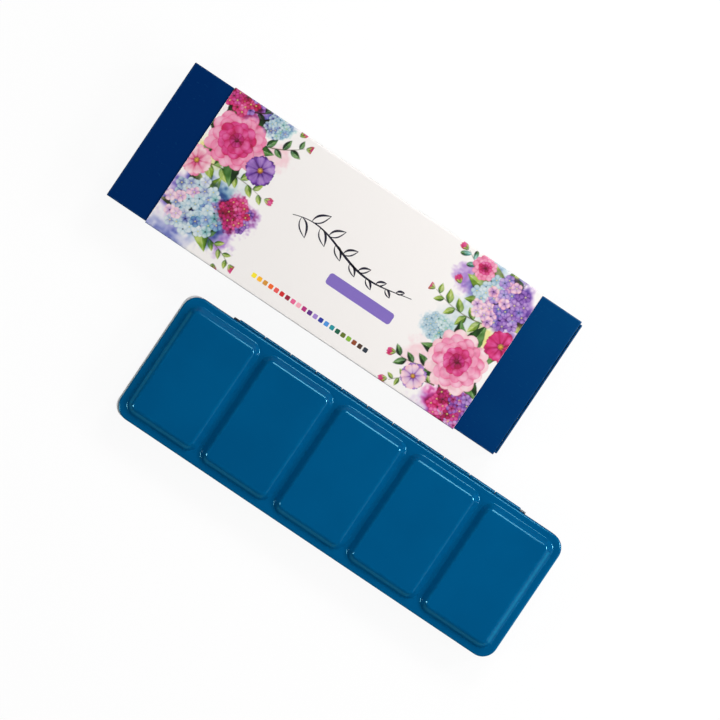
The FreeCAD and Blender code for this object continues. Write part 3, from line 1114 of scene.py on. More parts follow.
@dataclass
class Hinge:
    """The hinge: the knuckles that both halves of the tin roll round one pin."""

    axis_y: float = -11.375
    axis_z: float = 14.0
    first: float = -53.975
    pitch: float = 15.3
    gap: float = 0.5
    outer: float = 0.95
    sheet: float = 0.4
    clear: float = 1.25
    sweep: float = 332.0
    dulled: float = 0.06
    crease: float = 50.0
    steps: int = 28

    def roll(self, name: str, number: int, count: int, upwards: bool) -> Piece:
        """Roll a row of knuckles.

        Args:
            name: The row's name.
            number: The first knuckle's place along the hinge.
            count: How many knuckles the row has.
            upwards: Whether the sheet comes down from above, as the lid's does.

        Returns:
            The row as one piece.
        """
        curl = Shell(name, Lie.ALONG_X)
        sweep = math.radians(self.sweep)
        sense = 1 if upwards else -1
        start, length = self.first + number * self.pitch + self.gap / 2, self.pitch - self.gap
        rings = []
        for along, dull in (
            (0, self.dulled), (self.dulled, 0), (length - self.dulled, 0), (length, self.dulled)
        ):
            path = []
            for radius, turns in (
                (self.outer - dull, range(self.steps + 1)),
                (self.outer - self.sheet + dull, range(self.steps, -1, -1)),
            ):
                for turn in turns:
                    angle = sense * (math.pi + sweep * turn / self.steps)
                    y, z = radius * math.cos(angle), radius * math.sin(angle)
                    spot = curl.lie.place(self.axis_y + y, self.axis_z + z, start + along)
                    path.append(curl.add_point(spot))
            rings.append(path)
        curl.loft(rings)
        for ring in (rings[0], rings[-1]):
            for turn in range(self.steps):
                far = 2 * self.steps + 1 - turn
                curl.add_face((ring[turn], ring[turn + 1], ring[far - 1], ring[far]))
        row = curl.make([TEAL], self.crease)
        grow(row, ROW, Count=count, Step=(2 * self.pitch * MM, 0.0, 0.0), Finish=TEAL)
        shade(row.data, self.crease)
        return row

    def notches(self, number: int, count: int, upwards: bool) -> list[tuple[Spot, Spot]]:
        """Give the blocks that make room in a wall for the other half's knuckles.

        Args:
            number: The first knuckle's place along the hinge.
            count: How many knuckles need room.
            upwards: Whether the wall is above the split line.

        Returns:
            Each block's lowest and highest corners.
        """
        low, high = (-0.6, self.clear) if upwards else (-self.clear, 0.3)
        front, back = self.axis_y - self.clear + 0.05, self.axis_y + self.clear
        lefts = [self.first + (number + 2 * knuckle) * self.pitch for knuckle in range(count)]
        return [
            ((left, front, self.axis_z + low), (left + self.pitch, back, self.axis_z + high))
            for left in lefts
        ]

    def lay_pin(self) -> None:
        """Put the wire pin through the knuckles, its cut ends a little rounded."""
        low, high = node_box("hinge_pin")
        radius = (high.y - low.y) / 2
        pin = Shell("hinge_wire", Lie.ALONG_X)
        plan = Plan((self.axis_y, self.axis_z), (radius, radius), radius - 0.001, steps=6, support=0.0)
        inside = radius - 0.2
        pin.solid(plan, section([
            Turn(inside, low.x), Turn(0, low.x, 0.12), Turn(0, high.x, 0.12), Turn(inside, high.x),
        ], 3))
        stand_for(pin.make([WIRE]), "hinge_pin")


@dataclass
class TinHalf:
    """What both halves of the tin share: a drawn shell, teal outside and white inside."""

    hinge: Hinge
    width: float = 71.4
    sheet: float = 0.4
    split: float = 14.0
    steps: int = 14

    def measure(self, node: str) -> tuple[Vector, Vector, Flat, Flat]:
        """Measure a half without its knuckles.

        Args:
            node: Its CAD node.

        Returns:
            Its lowest and highest corners, and the middle and the half size of its plan.
        """
        low, high = node_box(node)
        middle = ((low.x + high.x) / 2, low.y + self.width / 2)
        return low, high, middle, ((high.x - low.x) / 2, self.width / 2)

    def complete(self, shell: Shell, node: str, first: int, count: int, upwards: bool) -> None:
        """Make a half, with room for the other half's knuckles, and add its own.

        Args:
            shell: The half's shell.
            node: Its CAD node.
            first: Its first knuckle's place along the hinge, 0 or 1.
            count: How many knuckles it has.
            upwards: Whether it is the upper half.
        """
        piece = shell.make([TEAL, WHITE])
        cut_away(piece, self.hinge.notches(1 - first, 11 - count, upwards))
        name = node.removeprefix("tin_") + "_knuckles"
        take_on(piece, self.hinge.roll(name, first, count, upwards))
        stand_for(piece, node)


@dataclass
class Lid(TinHalf):
    """The lid: its raised panels are mixing wells from inside."""

    corner: float = 8.0
    top_round: float = 1.0
    border: float = 3.6
    groove: float = 1.9
    slope: float = 3.3
    rise: float = 4.0
    panels: int = 5
    panel_corner: float = 6.0
    crown_corner: float = 2.5
    lean: float = 0.2
    foot_round: float = 0.9
    crown_round: float = 2.4
    crown: float = 0.07
    overlap: float = 0.45
    plate_inset: float = 1.9

    def skirt(self, shell: Shell, plan: Plan, shoulder: float) -> tuple[list[int], list[int]]:
        """Build the wall all round.

        Args:
            shell: The lid's shell.
            plan: The lid's plan.
            shoulder: The height of the top plate.

        Returns:
            The rings round the top plate, inside and outside.
        """
        inset, sheet, foot = self.plate_inset, self.sheet, self.split
        inside = shell.wall(plan, section([
            Turn(inset, shoulder - sheet), Turn(sheet, shoulder - sheet, 0.6),
            Turn(sheet, foot + 0.15),
        ]), 1)
        turn = shell.wall(plan, section([
            Turn(sheet, foot + 0.15), Turn(sheet, foot, 0.12), Turn(0, foot, 0.12),
            Turn(0, foot + 0.3),
        ], 3))
        outside = shell.wall(plan, section([
            Turn(0, foot + 0.3), Turn(0, shoulder, self.top_round), Turn(inset, shoulder),
        ], 8))
        shell.loft((inside[-1], turn[0]), 1)
        shell.loft((turn[-1], outside[0]))
        return inside[0], outside[-1]

    def panel(self, shell: Shell, plan: Plan, shoulder: float, inside: bool) -> list[int]:
        """Press one panel.

        Args:
            shell: The lid's shell.
            plan: The panel's plan.
            shoulder: The height of the top plate.
            inside: Whether it is the sheet's inner face.

        Returns:
            The ring round the panel's foot.
        """
        crease = math.atan2(self.rise, self.slope - 2 * self.lean)
        thicker = self.sheet if inside else 0.0
        shift = thicker * math.tan(crease / 2)
        base = shoulder - thicker
        crown = base + self.rise - self.crown
        rings = shell.wall(plan, section([
            Turn(-self.overlap, base), Turn(shift + self.lean, base, self.foot_round + thicker),
            Turn(self.slope - self.lean + shift, crown, self.crown_round - thicker),
            Turn(self.slope + shift + 1.6, crown + 0.01),
            Turn(8.0, base + self.rise - self.crown * 0.35), Turn(13.0, base + self.rise),
        ], 10), int(inside))
        shell.add_face(rings[-1], int(inside))
        return rings[0]

    def build(self) -> None:
        """Build the lid with its knuckles."""
        low, high, middle, half = self.measure("tin_lid")
        shoulder = high.z - self.rise
        shell = Shell("enamel_lid")
        outlines = self.skirt(shell, Plan(middle, half, self.corner, steps=self.steps), shoulder)
        length = (high.x - low.x - 2 * self.border - (self.panels - 1) * self.groove) / self.panels
        feet = []
        for number in range(self.panels):
            across = middle[0] + (number - (self.panels - 1) / 2) * (length + self.groove)
            plan = Plan(
                (across, middle[1]), (length / 2, self.width / 2 - self.border), self.panel_corner,
                taper=(self.panel_corner - self.crown_corner) / self.slope, steps=self.steps,
            )
            feet.append([self.panel(shell, plan, shoulder, inside) for inside in (True, False)])
        for place, outline in enumerate(outlines):
            shell.plate(outline, [foot[place] for foot in feet], 1 - place)
        self.complete(shell, "tin_lid", 0, 6, True)


@dataclass
class Base(TinHalf):
    """The base: a drawn tub with a white rolled rim and a lip that goes up inside the lid."""

    corner: float = 7.0
    floor_round: float = 1.5
    floor_inset: float = 3.0
    bead: float = 0.85
    flare: float = 0.5
    shoulder: float = 1.2
    lip_corner: float = 7.3

    def build(self) -> None:
        """Build the base with its knuckles."""
        low, high, middle, half = self.measure("tin_base")
        tub = Plan(middle, half, self.corner, steps=self.steps)
        rolled = Plan(
            (middle[0] - self.flare / 2, middle[1]), (half[0] + self.flare / 2, half[1]),
            self.corner, steps=self.steps,
        )
        lip_half = (half[0] - self.shoulder, half[1] - self.shoulder)
        lip = Plan(middle, lip_half, self.lip_corner, steps=self.steps)
        shell = Shell("enamel_base")
        groove, top, sheet = self.split - self.bead, high.z, self.sheet
        skin = shell.wall(tub, section([
            Turn(self.floor_inset, 0), Turn(0, 0, self.floor_round), Turn(0, groove - 0.3),
            Turn(0.14, groove, 0.1), Turn(0.14, groove + 0.06),
        ]))
        bead = shell.wall(rolled, section([
            Turn(0.06, groove + 0.08), Turn(0, groove + 0.16, 0.03), Turn(0, self.split, 0.36),
            Turn(1.0, self.split),
        ]), 1)
        stand = shell.wall(lip, section([
            Turn(0, self.split), Turn(0, top, 0.14), Turn(sheet, top, 0.14),
            Turn(sheet, self.split - sheet),
        ], 4), 1)
        inside = shell.wall(tub, section([
            Turn(sheet, self.split - sheet), Turn(sheet, sheet, 1.1), Turn(self.floor_inset, sheet),
        ]), 1)
        for before, after in ((skin, bead), (bead, stand), (stand, inside)):
            shell.loft((before[-1], after[0]), 1)
        shell.cap((skin[0], inside[-1]), (0, 1))
        self.complete(shell, "tin_base", 1, 5, False)


@dataclass
class Rack:
    """The rack: a folded steel sheet whose ridges and spring tabs hold the pans."""

    soft: float = 0.12
    flat_within: float = 2.0
    sharp_past: float = 35.0
    crease: float = 50.0

    def build(self) -> None:
        """Copy the folded CAD sheet, round its sharp edges and enamel it."""
        mesh = frame["nodes"]["pan_rack"].data.copy()
        mesh.name = "folded_rack"
        mesh.materials.clear()
        mesh.materials.append(WHITE)
        work = bmesh.new()
        work.from_mesh(mesh)
        bmesh.ops.remove_doubles(work, verts=work.verts, dist=2e-6)
        bmesh.ops.dissolve_limit(
            work, angle_limit=math.radians(self.flat_within), verts=work.verts, edges=work.edges
        )
        limit = math.radians(self.sharp_past)
        sharp = [edge for edge in work.edges if edge.calc_face_angle(0) > limit]
        bmesh.ops.bevel(
            work, geom=sharp, offset=self.soft * MM, offset_type="OFFSET", segments=3, profile=0.5,
            affect="EDGES", clamp_overlap=True,
        )
        bmesh.ops.triangulate(work, faces=[face for face in work.faces if len(face.verts) > 4])
        work.to_mesh(mesh)
        work.free()
        shade(mesh, self.crease)
        stand_for(new_object(mesh.name, mesh), "pan_rack")


class Tint(Enum):
    """A choice of display colours."""

    @property
    def light(self) -> Colour:
        """The colour as linear light."""
        return from_screen(*self.value)


class Hue(Tint):
    """The set's 21 paints, row by row from the hinge, as display colours."""

    LEMON = (240, 220, 40)
    WARM_YELLOW = (244, 178, 30)
    GOLDEN_OCHRE = (205, 140, 45)
    ORANGE = (232, 98, 30)
    CORAL = (226, 84, 80)
    SCARLET = (200, 32, 36)
    CARMINE = (150, 20, 52)
    ROSE_PINK = (222, 92, 140)
    PALE_PINK = (236, 160, 178)
    MAGENTA = (176, 36, 118)
    VIOLET = (92, 42, 128)
    LILAC = (154, 124, 196)
    ULTRAMARINE = (32, 48, 150)
    SKY_BLUE = (70, 140, 210)
    TURQUOISE = (20, 140, 150)
    DEEP_GREEN = (20, 92, 66)
    OLIVE_GREEN = (96, 112, 36)
    FRESH_GREEN = (128, 176, 50)
    BURNT_SIENNA = (140, 66, 34)
    UMBER = (78, 54, 42)
    PAYNE_GREY = (46, 54, 66)


@dataclass
class Pans:
    """The 21 moulded pans and the paint dried in each."""

    wall: float = 0.9
    floor: float = 1.0
    corner: float = 2.0
    sink: float = 0.7
    sunk_within: float = 1.3
    edge: float = 0.12
    rings: int = 12
    held: float = 2.0

    def mould(self, number: int) -> None:
        """Mould one empty pan.

        Args:
            number: The pan's number, from 1.
        """
        node = f"pan_{number:02d}"
        low, high = node_box(node)
        shell = Shell(f"moulded_{node}")
        shell.solid(Plan.across((low, high), self.corner, steps=5, support=0.3), section([
            Turn(1.6, low.z), Turn(0.15, low.z, 0.5), Turn(0, high.z - 0.9, 0.3),
            Turn(0, high.z, 0.22), Turn(self.wall, high.z, 0.25),
            Turn(self.wall, low.z + self.floor, 0.8), Turn(self.wall + 1.5, low.z + self.floor),
        ], 4))
        stand_for(shell.make([PAN]), node)

    def pour(self, number: int, hue: Hue) -> None:
        """Pour one pan's paint and let it dry.

        Args:
            number: The pan's number, from 1.
            hue: The paint's colour.
        """
        node = f"paint_{number:02d}"
        low, high = node_box(node)
        plan = Plan.across(
            (low, high), self.corner - self.wall, steps=4, splits=(9, 5), support=0.4
        )
        shell = Shell(f"dried_{node}")
        path = [Step(0.8, low.z), Step(0.02, low.z + 0.8), Step(0.02, high.z)]
        for part in range(self.rings + 1):
            inset = self.edge + 0.68 * part
            sunk = self.sink * (1 - math.exp(-inset / self.sunk_within)) if part else 0.0
            path.append(Step(inset, high.z - self.edge - sunk))
        shell.solid(plan, path)
        finish = Paint(f"{node}_{hue.name.lower()}", hue.light, number * 1.7).make()
        paint = shell.make([finish])
        free = []
        for vertex in paint.data.vertices:
            spot = [measure / MM for measure in vertex.co]
            gaps = [plan.half[axis] - abs(spot[axis] - plan.middle[axis]) for axis in (0, 1)]
            loose = math.prod(min(max(gap / self.held, 0), 1) for gap in gaps)
            free.append(loose * (spot[2] > high.z - self.held))
        paint.data.attributes.new("free", "FLOAT", "POINT").data.foreach_set("value", free)
        grow(paint, DRIED, Hollow=0.9 * MM, Pits=0.16 * MM, Seed=number * 3.1, Finish=finish)
        stand_for(paint, node)

    def build(self) -> None:
        """Build every pan and its paint."""
        for number, hue in enumerate(Hue, start=1):
            self.mould(number)
            self.pour(number, hue)


# ---- the carton --------------------------------------------------------------------------------


@dataclass
class Carton:
    """The carton: a slip case that is open at its right end, and the tray inside it."""

    board: float = 1.0
    brim: float = 1.2
    turned_in: float = 12.0
    inset: float = 3.0

    def fold(
        self, node: str, name: str, lie: Lie, foot: Flat, rim: float, lined: Sequence[float],
        wrap: Material,
    ) -> None:
        """Fold one open box of board.

        Args:
            node: Its CAD node.
            name: The new piece's name.
            lie: Which way the box opens.
            foot: How round its closed end is, and how far up the edge of that end reaches.
            rim: How round its brim is.
            lined: How far down inside the wrap's rings are. The bare board starts at the last.
            wrap: The finish of its wrap.
        """
        box = node_box(node)
        start, end = box[0][lie.value[2]], box[1][lie.value[2]]
        plan = Plan.across(box, 0.45, lie, taper=0.3, folds=True, steps=4, support=0.7)
        shell = Shell(name, lie)
        outside = [
            Turn(2.5, start), Turn(0, start, foot[0]), Turn(0, start + foot[1]),
            Turn(0, end - self.brim), Turn(0, end, rim), Turn(self.board, end, rim),
            *(Turn(self.board, end - depth) for depth in lined),
        ]
        floor = start + self.board
        inside = [outside[-1], Turn(self.board, floor), Turn(self.inset, floor)]
        wrapped = shell.wall(plan, section(outside, 4))
        bare = shell.wall(plan, section(inside, 4), 1)
        shell.loft((wrapped[-1], bare[0]), 1)
        shell.cap((wrapped[0], bare[-1]), (0, 1))
        stand_for(shell.make([wrap, BARE_BOARD]), node)

    def build(self) -> None:
        """Build the case and the tray."""
        self.fold(
            "carton_case", "slip_case", Lie.ALONG_X, (0.4, 1.6), 0.2,
            (self.brim, self.turned_in), NAVY,
        )
        self.fold(
            "carton_tray", "sliding_tray", Lie.UPRIGHT, (0.35, 1.4), 0.3, (self.brim,), TRAY_NAVY
        )


# ---- the printed band --------------------------------------------------------------------------

PAPER_TONE = np.array(from_screen(232, 228, 225))


class Ink(Tint):
    """The inks of the floral print."""

    MAGENTA = (196, 22, 110)
    WINE = (132, 8, 62)
    CRIMSON = (170, 10, 54)
    ROSE = (226, 66, 142)
    BLUSH = (246, 160, 196)
    SHELL = (252, 214, 224)
    VIOLET = (96, 40, 146)
    LILAC = (166, 122, 208)
    PERIWINKLE = (96, 108, 190)
    SKY = (146, 190, 218)
    AQUA = (104, 184, 186)
    MIST = (208, 226, 232)
    LEMON = (236, 232, 140)
    SAP = (58, 112, 36)
    PINE = (18, 62, 30)
    LIME = (160, 190, 58)
    TWIG = (104, 98, 50)
    OCHRE = (222, 160, 50)
    PLUM = (58, 14, 52)


Inks = tuple[Ink, Ink]


@dataclass(frozen=True)
class Form:
    """The outline of a petal or leaf: where it is widest, how full it is, its tip and its rim."""

    widest: float
    full: float
    notch: float = 0.0
    ribbed: bool = False
    rim: float = 0.55


class Petal(Enum):
    """The outlines that the print is made of."""

    COSMOS = Form(0.74, 0.55, 0.07)
    ROUND = Form(0.6, 0.46, rim=0.9)
    DAHLIA = Form(0.66, 0.5, rim=0.8)
    SLIM = Form(0.55, 0.9)
    LEAF = Form(0.42, 0.95, ribbed=True)
    GUM_LEAF = Form(0.55, 0.5, ribbed=True)


def beyond(spot: Flat, angle: float, reach: float) -> Flat:
    """Give the place at a distance from a spot, at an angle in degrees."""
    turn = math.radians(angle)
    return (spot[0] + math.cos(turn) * reach, spot[1] + math.sin(turn) * reach)


class Painting:
    """A stretch of card that is painted in layers, as in watercolor."""

    LATTICE = 97
    FAR = 500
    FAINTEST = 0.004
    GOLDEN_ANGLE = 2.39996

    def __init__(self, corner: Flat, size: Flat, pitch: float, seed: int) -> None:
        """Start with bare paper.

        Args:
            corner: The lowest corner of the stretch.
            size: Its length along X and its length round the card.
            pitch: The distance between its painted points.
            seed: Fixes everything random about it.
        """
        self.pitch = pitch
        across = np.linspace(corner[0], corner[0] + size[0], round(size[0] / pitch) + 1)
        around = np.linspace(corner[1], corner[1] + size[1], round(size[1] / pitch) + 1)
        self.x, self.y = np.meshgrid(across, around)
        self.tone = np.tile(PAPER_TONE, (*self.x.shape, 1))
        self.random = np.random.default_rng(seed)
        self.between = self.random.uniform
        self.lattice = self.random.random((self.LATTICE, self.LATTICE))

    def mottle(self, x: np.ndarray, y: np.ndarray, scale: float) -> np.ndarray:
        """Vary a value smoothly and at random.

        Args:
            x: The places along X.
            y: The places round the card.
            scale: How far apart the random values are.

        Returns:
            A value from 0 to 1 for each place.
        """
        u, v = x / scale + self.FAR, y / scale + self.FAR
        column, row = np.floor(u).astype(int), np.floor(v).astype(int)
        u, v = u - column, v - row
        u, v = u * u * (3 - 2 * u), v * v * (3 - 2 * v)
        near, far = (
            self.lattice[(row + j) % self.LATTICE, column % self.LATTICE] * (1 - u)
            + self.lattice[(row + j) % self.LATTICE, (column + 1) % self.LATTICE] * u
            for j in (0, 1)
        )
        return near * (1 - v) + far * v

    def around(self, spot: Flat, reach: float) -> tuple[slice, slice]:
        """Find the part of the stretch that lies near a spot.

        Args:
            spot: The spot.
            reach: How far the part reaches on each side.

        Returns:
            The part's rows and columns.
        """
        columns = np.searchsorted(self.x[0], (spot[0] - reach, spot[0] + reach))
        rows = np.searchsorted(self.y[:, 0], (spot[1] - reach, spot[1] + reach))
        return slice(*rows), slice(*columns)

    def lay(self, part: tuple[slice, slice], margin: np.ndarray, depth: object, ink: object) -> None:
        """Lay one brush mark.

        Args:
            part: The part of the stretch that it lies in.
            margin: How far inside the mark each point is, in millimetres.
            depth: How much ink each point gets. 1 gives the ink's own colour.
            ink: The ink's colour, for the mark or for each point.
        """
        cover = np.clip(margin / self.pitch + 0.5, 0, 1)[..., None]
        absorbed = -np.log(np.clip(ink, self.FAINTEST, 1.0))
        wet = PAPER_TONE * np.exp(-np.asarray(depth)[..., None] * absorbed)
        self.tone[part] = self.tone[part] * (1 - cover) + wet * cover

    def petal(
        self, root: Flat, angle: float, size: Flat, petal: Petal, inks: Inks,
        depth: float = 1.0,
    ) -> None:
        """Paint one petal or leaf.

        Args:
            root: Where it grows from.
            angle: The way that it points, in degrees.
            size: Its length and its width.
            petal: Its outline.
            inks: Its colour at the root and at the tip.
            depth: How strong the colour is.
        """
        form, (length, width), turn = petal.value, size, math.radians(angle)
        part = self.around(beyond(root, angle, length / 2), length * 0.5 + width * 0.5 + 0.5)
        x, y = self.x[part] - root[0], self.y[part] - root[1]
        if x.size == 0:
            return
        along = (x * math.cos(turn) + y * math.sin(turn)) / length
        across = (y * math.cos(turn) - x * math.sin(turn)) / (width / 2)
        wobble = self.mottle(self.x[part], self.y[part], 1.4) - 0.5
        inside = np.clip(along, 0, 1)
        power = math.log(0.5) / math.log(form.widest)
        breadth = np.sin(math.pi * inside**power) ** form.full * (1 + 0.16 * wobble)
        tip = 1 - form.notch * (1 + np.cos(3 * math.pi * across)) / 2
        margin = np.minimum((breadth - np.abs(across)) * width / 2, (tip - along) * length)
        margin = np.minimum(margin, along * length)
        wash = self.mottle(self.x[part], self.y[part], 2.3)
        rim = np.exp(-np.clip(margin, 0, None) / 0.28)
        folded = np.clip(across / np.clip(breadth, 0.3, None), 0, 1) ** 2
        shade_of = depth * (0.5 + 0.75 * wash + form.rim * rim + 0.5 * folded)
        if form.ribbed:
            rib = np.clip(np.abs(across) * width / 2 / 0.22, 0, 1)
            veins = 0.5 + 0.5 * np.cos(18 * along - 7 * np.abs(across))
            shade_of *= (0.45 + 0.55 * rib) * (1 + 0.3 * np.sign(across)) * (0.85 + 0.25 * veins)
        else:
            veins = np.cos(across / np.clip(breadth, 0.2, None) * 9)
            shade_of *= 1 + 0.16 * veins * np.clip(1 - along, 0, 1)
        share = np.clip(inside * 1.15 + 0.3 * wobble, 0, 1)[..., None]
        first, last = (np.array(ink.light) for ink in inks)
        self.lay(part, margin, shade_of, first * (1 - share) + last * share)

    def dot(self, spot: Flat, radius: float, ink: Ink, depth: float = 1.0) -> None:
        """Paint a round dot with a darker rim.

        Args:
            spot: Its middle.
            radius: Its radius.
            ink: Its colour.
            depth: How strong the colour is.
        """
        part = self.around(spot, radius + 0.6)
        x, y = self.x[part] - spot[0], self.y[part] - spot[1]
        if x.size:
            margin = radius - np.hypot(x, y)
            rim = 0.4 * np.exp(-np.clip(margin, 0, None) / 0.3)
            self.lay(part, margin, depth * (0.75 + 0.3 * (x - y) / radius + rim), ink.light)

    def stem(self, start: Flat, end: Flat, bend: float, width: float, ink: Ink) -> list[Flat]:
        """Paint a curved stem.

        Args:
            start: Where it starts.
            end: Where it ends.
            bend: How far its middle stands off to the left of the straight line.
            width: Its width at the start.
            ink: Its colour.

        Returns:
            Points along the stem.
        """
        first, last = np.array(start), np.array(end)
        way = last - first
        knee = (first + last) / 2 + bend * np.array((-way[1], way[0])) / np.hypot(*way) * 2
        share = np.linspace(0, 1, 60)[:, None]
        line = first * (1 - share) ** 2 + knee * 2 * share * (1 - share) + last * share**2
        part = self.around(tuple((first + last) / 2), float(np.hypot(*way)) / 2 + abs(bend) + 2)
        x, y = self.x[part], self.y[part]
        if x.size:
            gap = np.full(x.shape, np.inf)
            for place, spot in enumerate(line):
                thin = width / 2 * (1 - 0.6 * place / 60)
                gap = np.minimum(gap, np.hypot(x - spot[0], y - spot[1]) - thin)
            self.lay(part, -gap, np.full(x.shape, 0.95), ink.light)
        return [tuple(spot) for spot in line]

    def spray(
        self, start: Flat, end: Flat, bend: float, leaves: int, size: Flat, petal: Petal,
        inks: Inks,
    ) -> None:
        """Paint a stem with leaves on both sides.

        Args:
            start: Where the stem starts.
            end: Where it ends.
            bend: How far its middle stands off to the left of the straight line.
            leaves: How many leaves it has.
            size: The first leaf's length and width.
            petal: The leaves' outline.
            inks: The leaves' colour at the root and at the tip.
        """
        line = self.stem(start, end, bend, 0.8, Ink.TWIG)
        for leaf in range(leaves):
            place = int((leaf + 0.8) / (leaves + 0.3) * 59)
            here, before = line[place], line[max(place - 3, 0)]
            way = math.degrees(math.atan2(here[1] - before[1], here[0] - before[0]))
            angle = way + (1 if leaf % 2 else -1) * self.between(38, 62)
            scale = self.between(0.8, 1.1) * (1 - 0.25 * leaf / leaves)
            self.petal(here, angle, (size[0] * scale, size[1] * scale), petal, inks)

    def bud(self, spot: Flat, angle: float, size: float, inks: Inks) -> None:
        """Paint a closed bud in its calyx.

        Args:
            spot: Its foot.
            angle: The way that it points, in degrees.
            size: Its length.
            inks: Its colour at the root and at the tip.
        """
        for lean in (-16, 16, 0):
            self.petal(spot, angle + lean, (size, size * 0.5), Petal.SLIM, inks)
        for lean in (-26, 24):
            leaf = (size * 0.6, size * 0.26)
            self.petal(spot, angle + lean, leaf, Petal.LEAF, (Ink.SAP, Ink.LIME))

    def cosmos(self, spot: Flat, size: float, inks: Inks, behind: Inks) -> None:
        """Paint an open bloom with eight notched petals over a second, darker row.

        Args:
            spot: Its middle.
            size: Its radius.
            inks: The front row's colour at the root and at the tip.
            behind: The back row's.
        """
        turn = self.between(0, 45)
        for row, row_inks, reach in ((0, behind, 1.0), (22.5, inks, 0.93)):
            for number in range(8):
                angle = turn + row + number * 45 + self.between(-5, 5)
                length = size * reach * self.between(0.92, 1.04)
                root = beyond(spot, angle, size * 0.06)
                self.petal(root, angle, (length, length * 0.66), Petal.COSMOS, row_inks)
        self.dot(spot, size * 0.17, Ink.OCHRE, 1.1)
        for ring, count, ink in ((0.12, 9, Ink.TWIG), (0.19, 14, Ink.WINE)):
            for number in range(count):
                angle = math.degrees(math.tau * number / count + self.between(-0.1, 0.1))
                self.dot(beyond(spot, angle, size * ring), size * 0.028, ink, 1.1)

    def wash(self, spot: Flat, radius: float, ink: Ink, depth: float = 0.5) -> None:
        """Glaze a soft, uneven wash over what is there.

        Args:
            spot: Its middle.
            radius: Its radius.
            ink: Its colour.
            depth: How strong the colour is.
        """
        part = self.around(spot, radius * 1.5)
        x, y = self.x[part], self.y[part]
        if x.size == 0:
            return
        ragged = self.mottle(x, y, radius * 0.35) + 0.5 * self.mottle(x, y, radius * 0.12)
        gone = np.hypot(x - spot[0], y - spot[1]) / radius - 0.55 * ragged
        wet = np.clip((0.75 - gone) / 0.6, 0, 1) ** 1.4 * (0.6 + 0.6 * self.mottle(x, y, 1.7))
        shown = np.log(np.clip(ink.light, self.FAINTEST, 1.0))
        self.tone[part] *= np.exp(depth * wet[..., None] * shown)

    def dahlia(self, spot: Flat, size: float, rows: Sequence[Inks]) -> None:
        """Paint a full bloom of many rows of rounded petals.

        Args:
            spot: Its middle.
            size: Its radius.
            rows: The colours of its rows at the root and at the tip, from the outside inwards.
        """
        for row, inks in enumerate(rows):
            share = row / len(rows)
            reach, count = size * (1 - share) ** 0.85, round(13 - 6 * share)
            turn = self.between(0, 40)
            for number in range(count):
                angle = turn + 360 * number / count + self.between(-7, 7)
                length = reach * self.between(0.9, 1.06)
                width = reach * 6.6 / count * self.between(0.9, 1.15)
                self.petal(
                    spot, angle, (length, width), Petal.DAHLIA, inks,
                    self.between(0.75, 1.25),
                )
        self.dot(spot, size * 0.07, rows[-1][0], 1.4)

    def phlox(self, spot: Flat, size: float, inks: Sequence[Inks], count: int) -> None:
        """Paint a dense head of small five-petalled florets.

        Args:
            spot: The middle of the head.
            size: Its radius.
            inks: The colours that its florets go through, from its left to its right.
            count: How many florets it has.
        """
        for number, (dark, _) in enumerate(inks):
            side = (number + 0.5) / len(inks) * 2 - 1
            self.wash((spot[0] + side * size * 0.5, spot[1]), size * 0.95, dark, 0.7)
        places = []
        for number in range(count):
            turn, reach = self.GOLDEN_ANGLE * number, size * 0.93 * math.sqrt((number + 0.5) / count)
            places.append((math.cos(turn) * reach, math.sin(turn) * reach * 0.94))
        for number in self.random.permutation(count):
            drift = self.between(-0.05, 0.05, 2) * size
            middle = (spot[0] + places[number][0] + drift[0], spot[1] + places[number][1] + drift[1])
            side = (middle[0] - spot[0] + size) / (2 * size) + self.between(-0.2, 0.2)
            pair = inks[min(max(int(side * len(inks)), 0), len(inks) - 1)]
            start, reach = self.between(0, 72), size / math.sqrt(count) * 1.28
            depth = self.between(0.55, 1.3)
            for petal in range(5):
                angle = start + 72 * petal + self.between(-6, 6)
                self.petal(middle, angle, (reach, reach * 0.9), Petal.ROUND, pair, depth)
            self.dot(middle, reach * 0.13, Ink.LEMON if number % 3 else Ink.PLUM, 1.2)

    def tuft(self, spot: Flat, angles: Sequence[float], size: float, inks: Inks) -> None:
        """Paint leaves that come out from behind a bloom.

        Args:
            spot: The bloom's middle.
            angles: The way that each leaf points, in degrees.
            size: The leaves' length.
            inks: Their colour at the root and at the tip.
        """
        for angle in angles:
            length = size * self.between(0.85, 1.12)
            self.petal(spot, angle, (length, length * 0.42), Petal.LEAF, inks, 1.15)


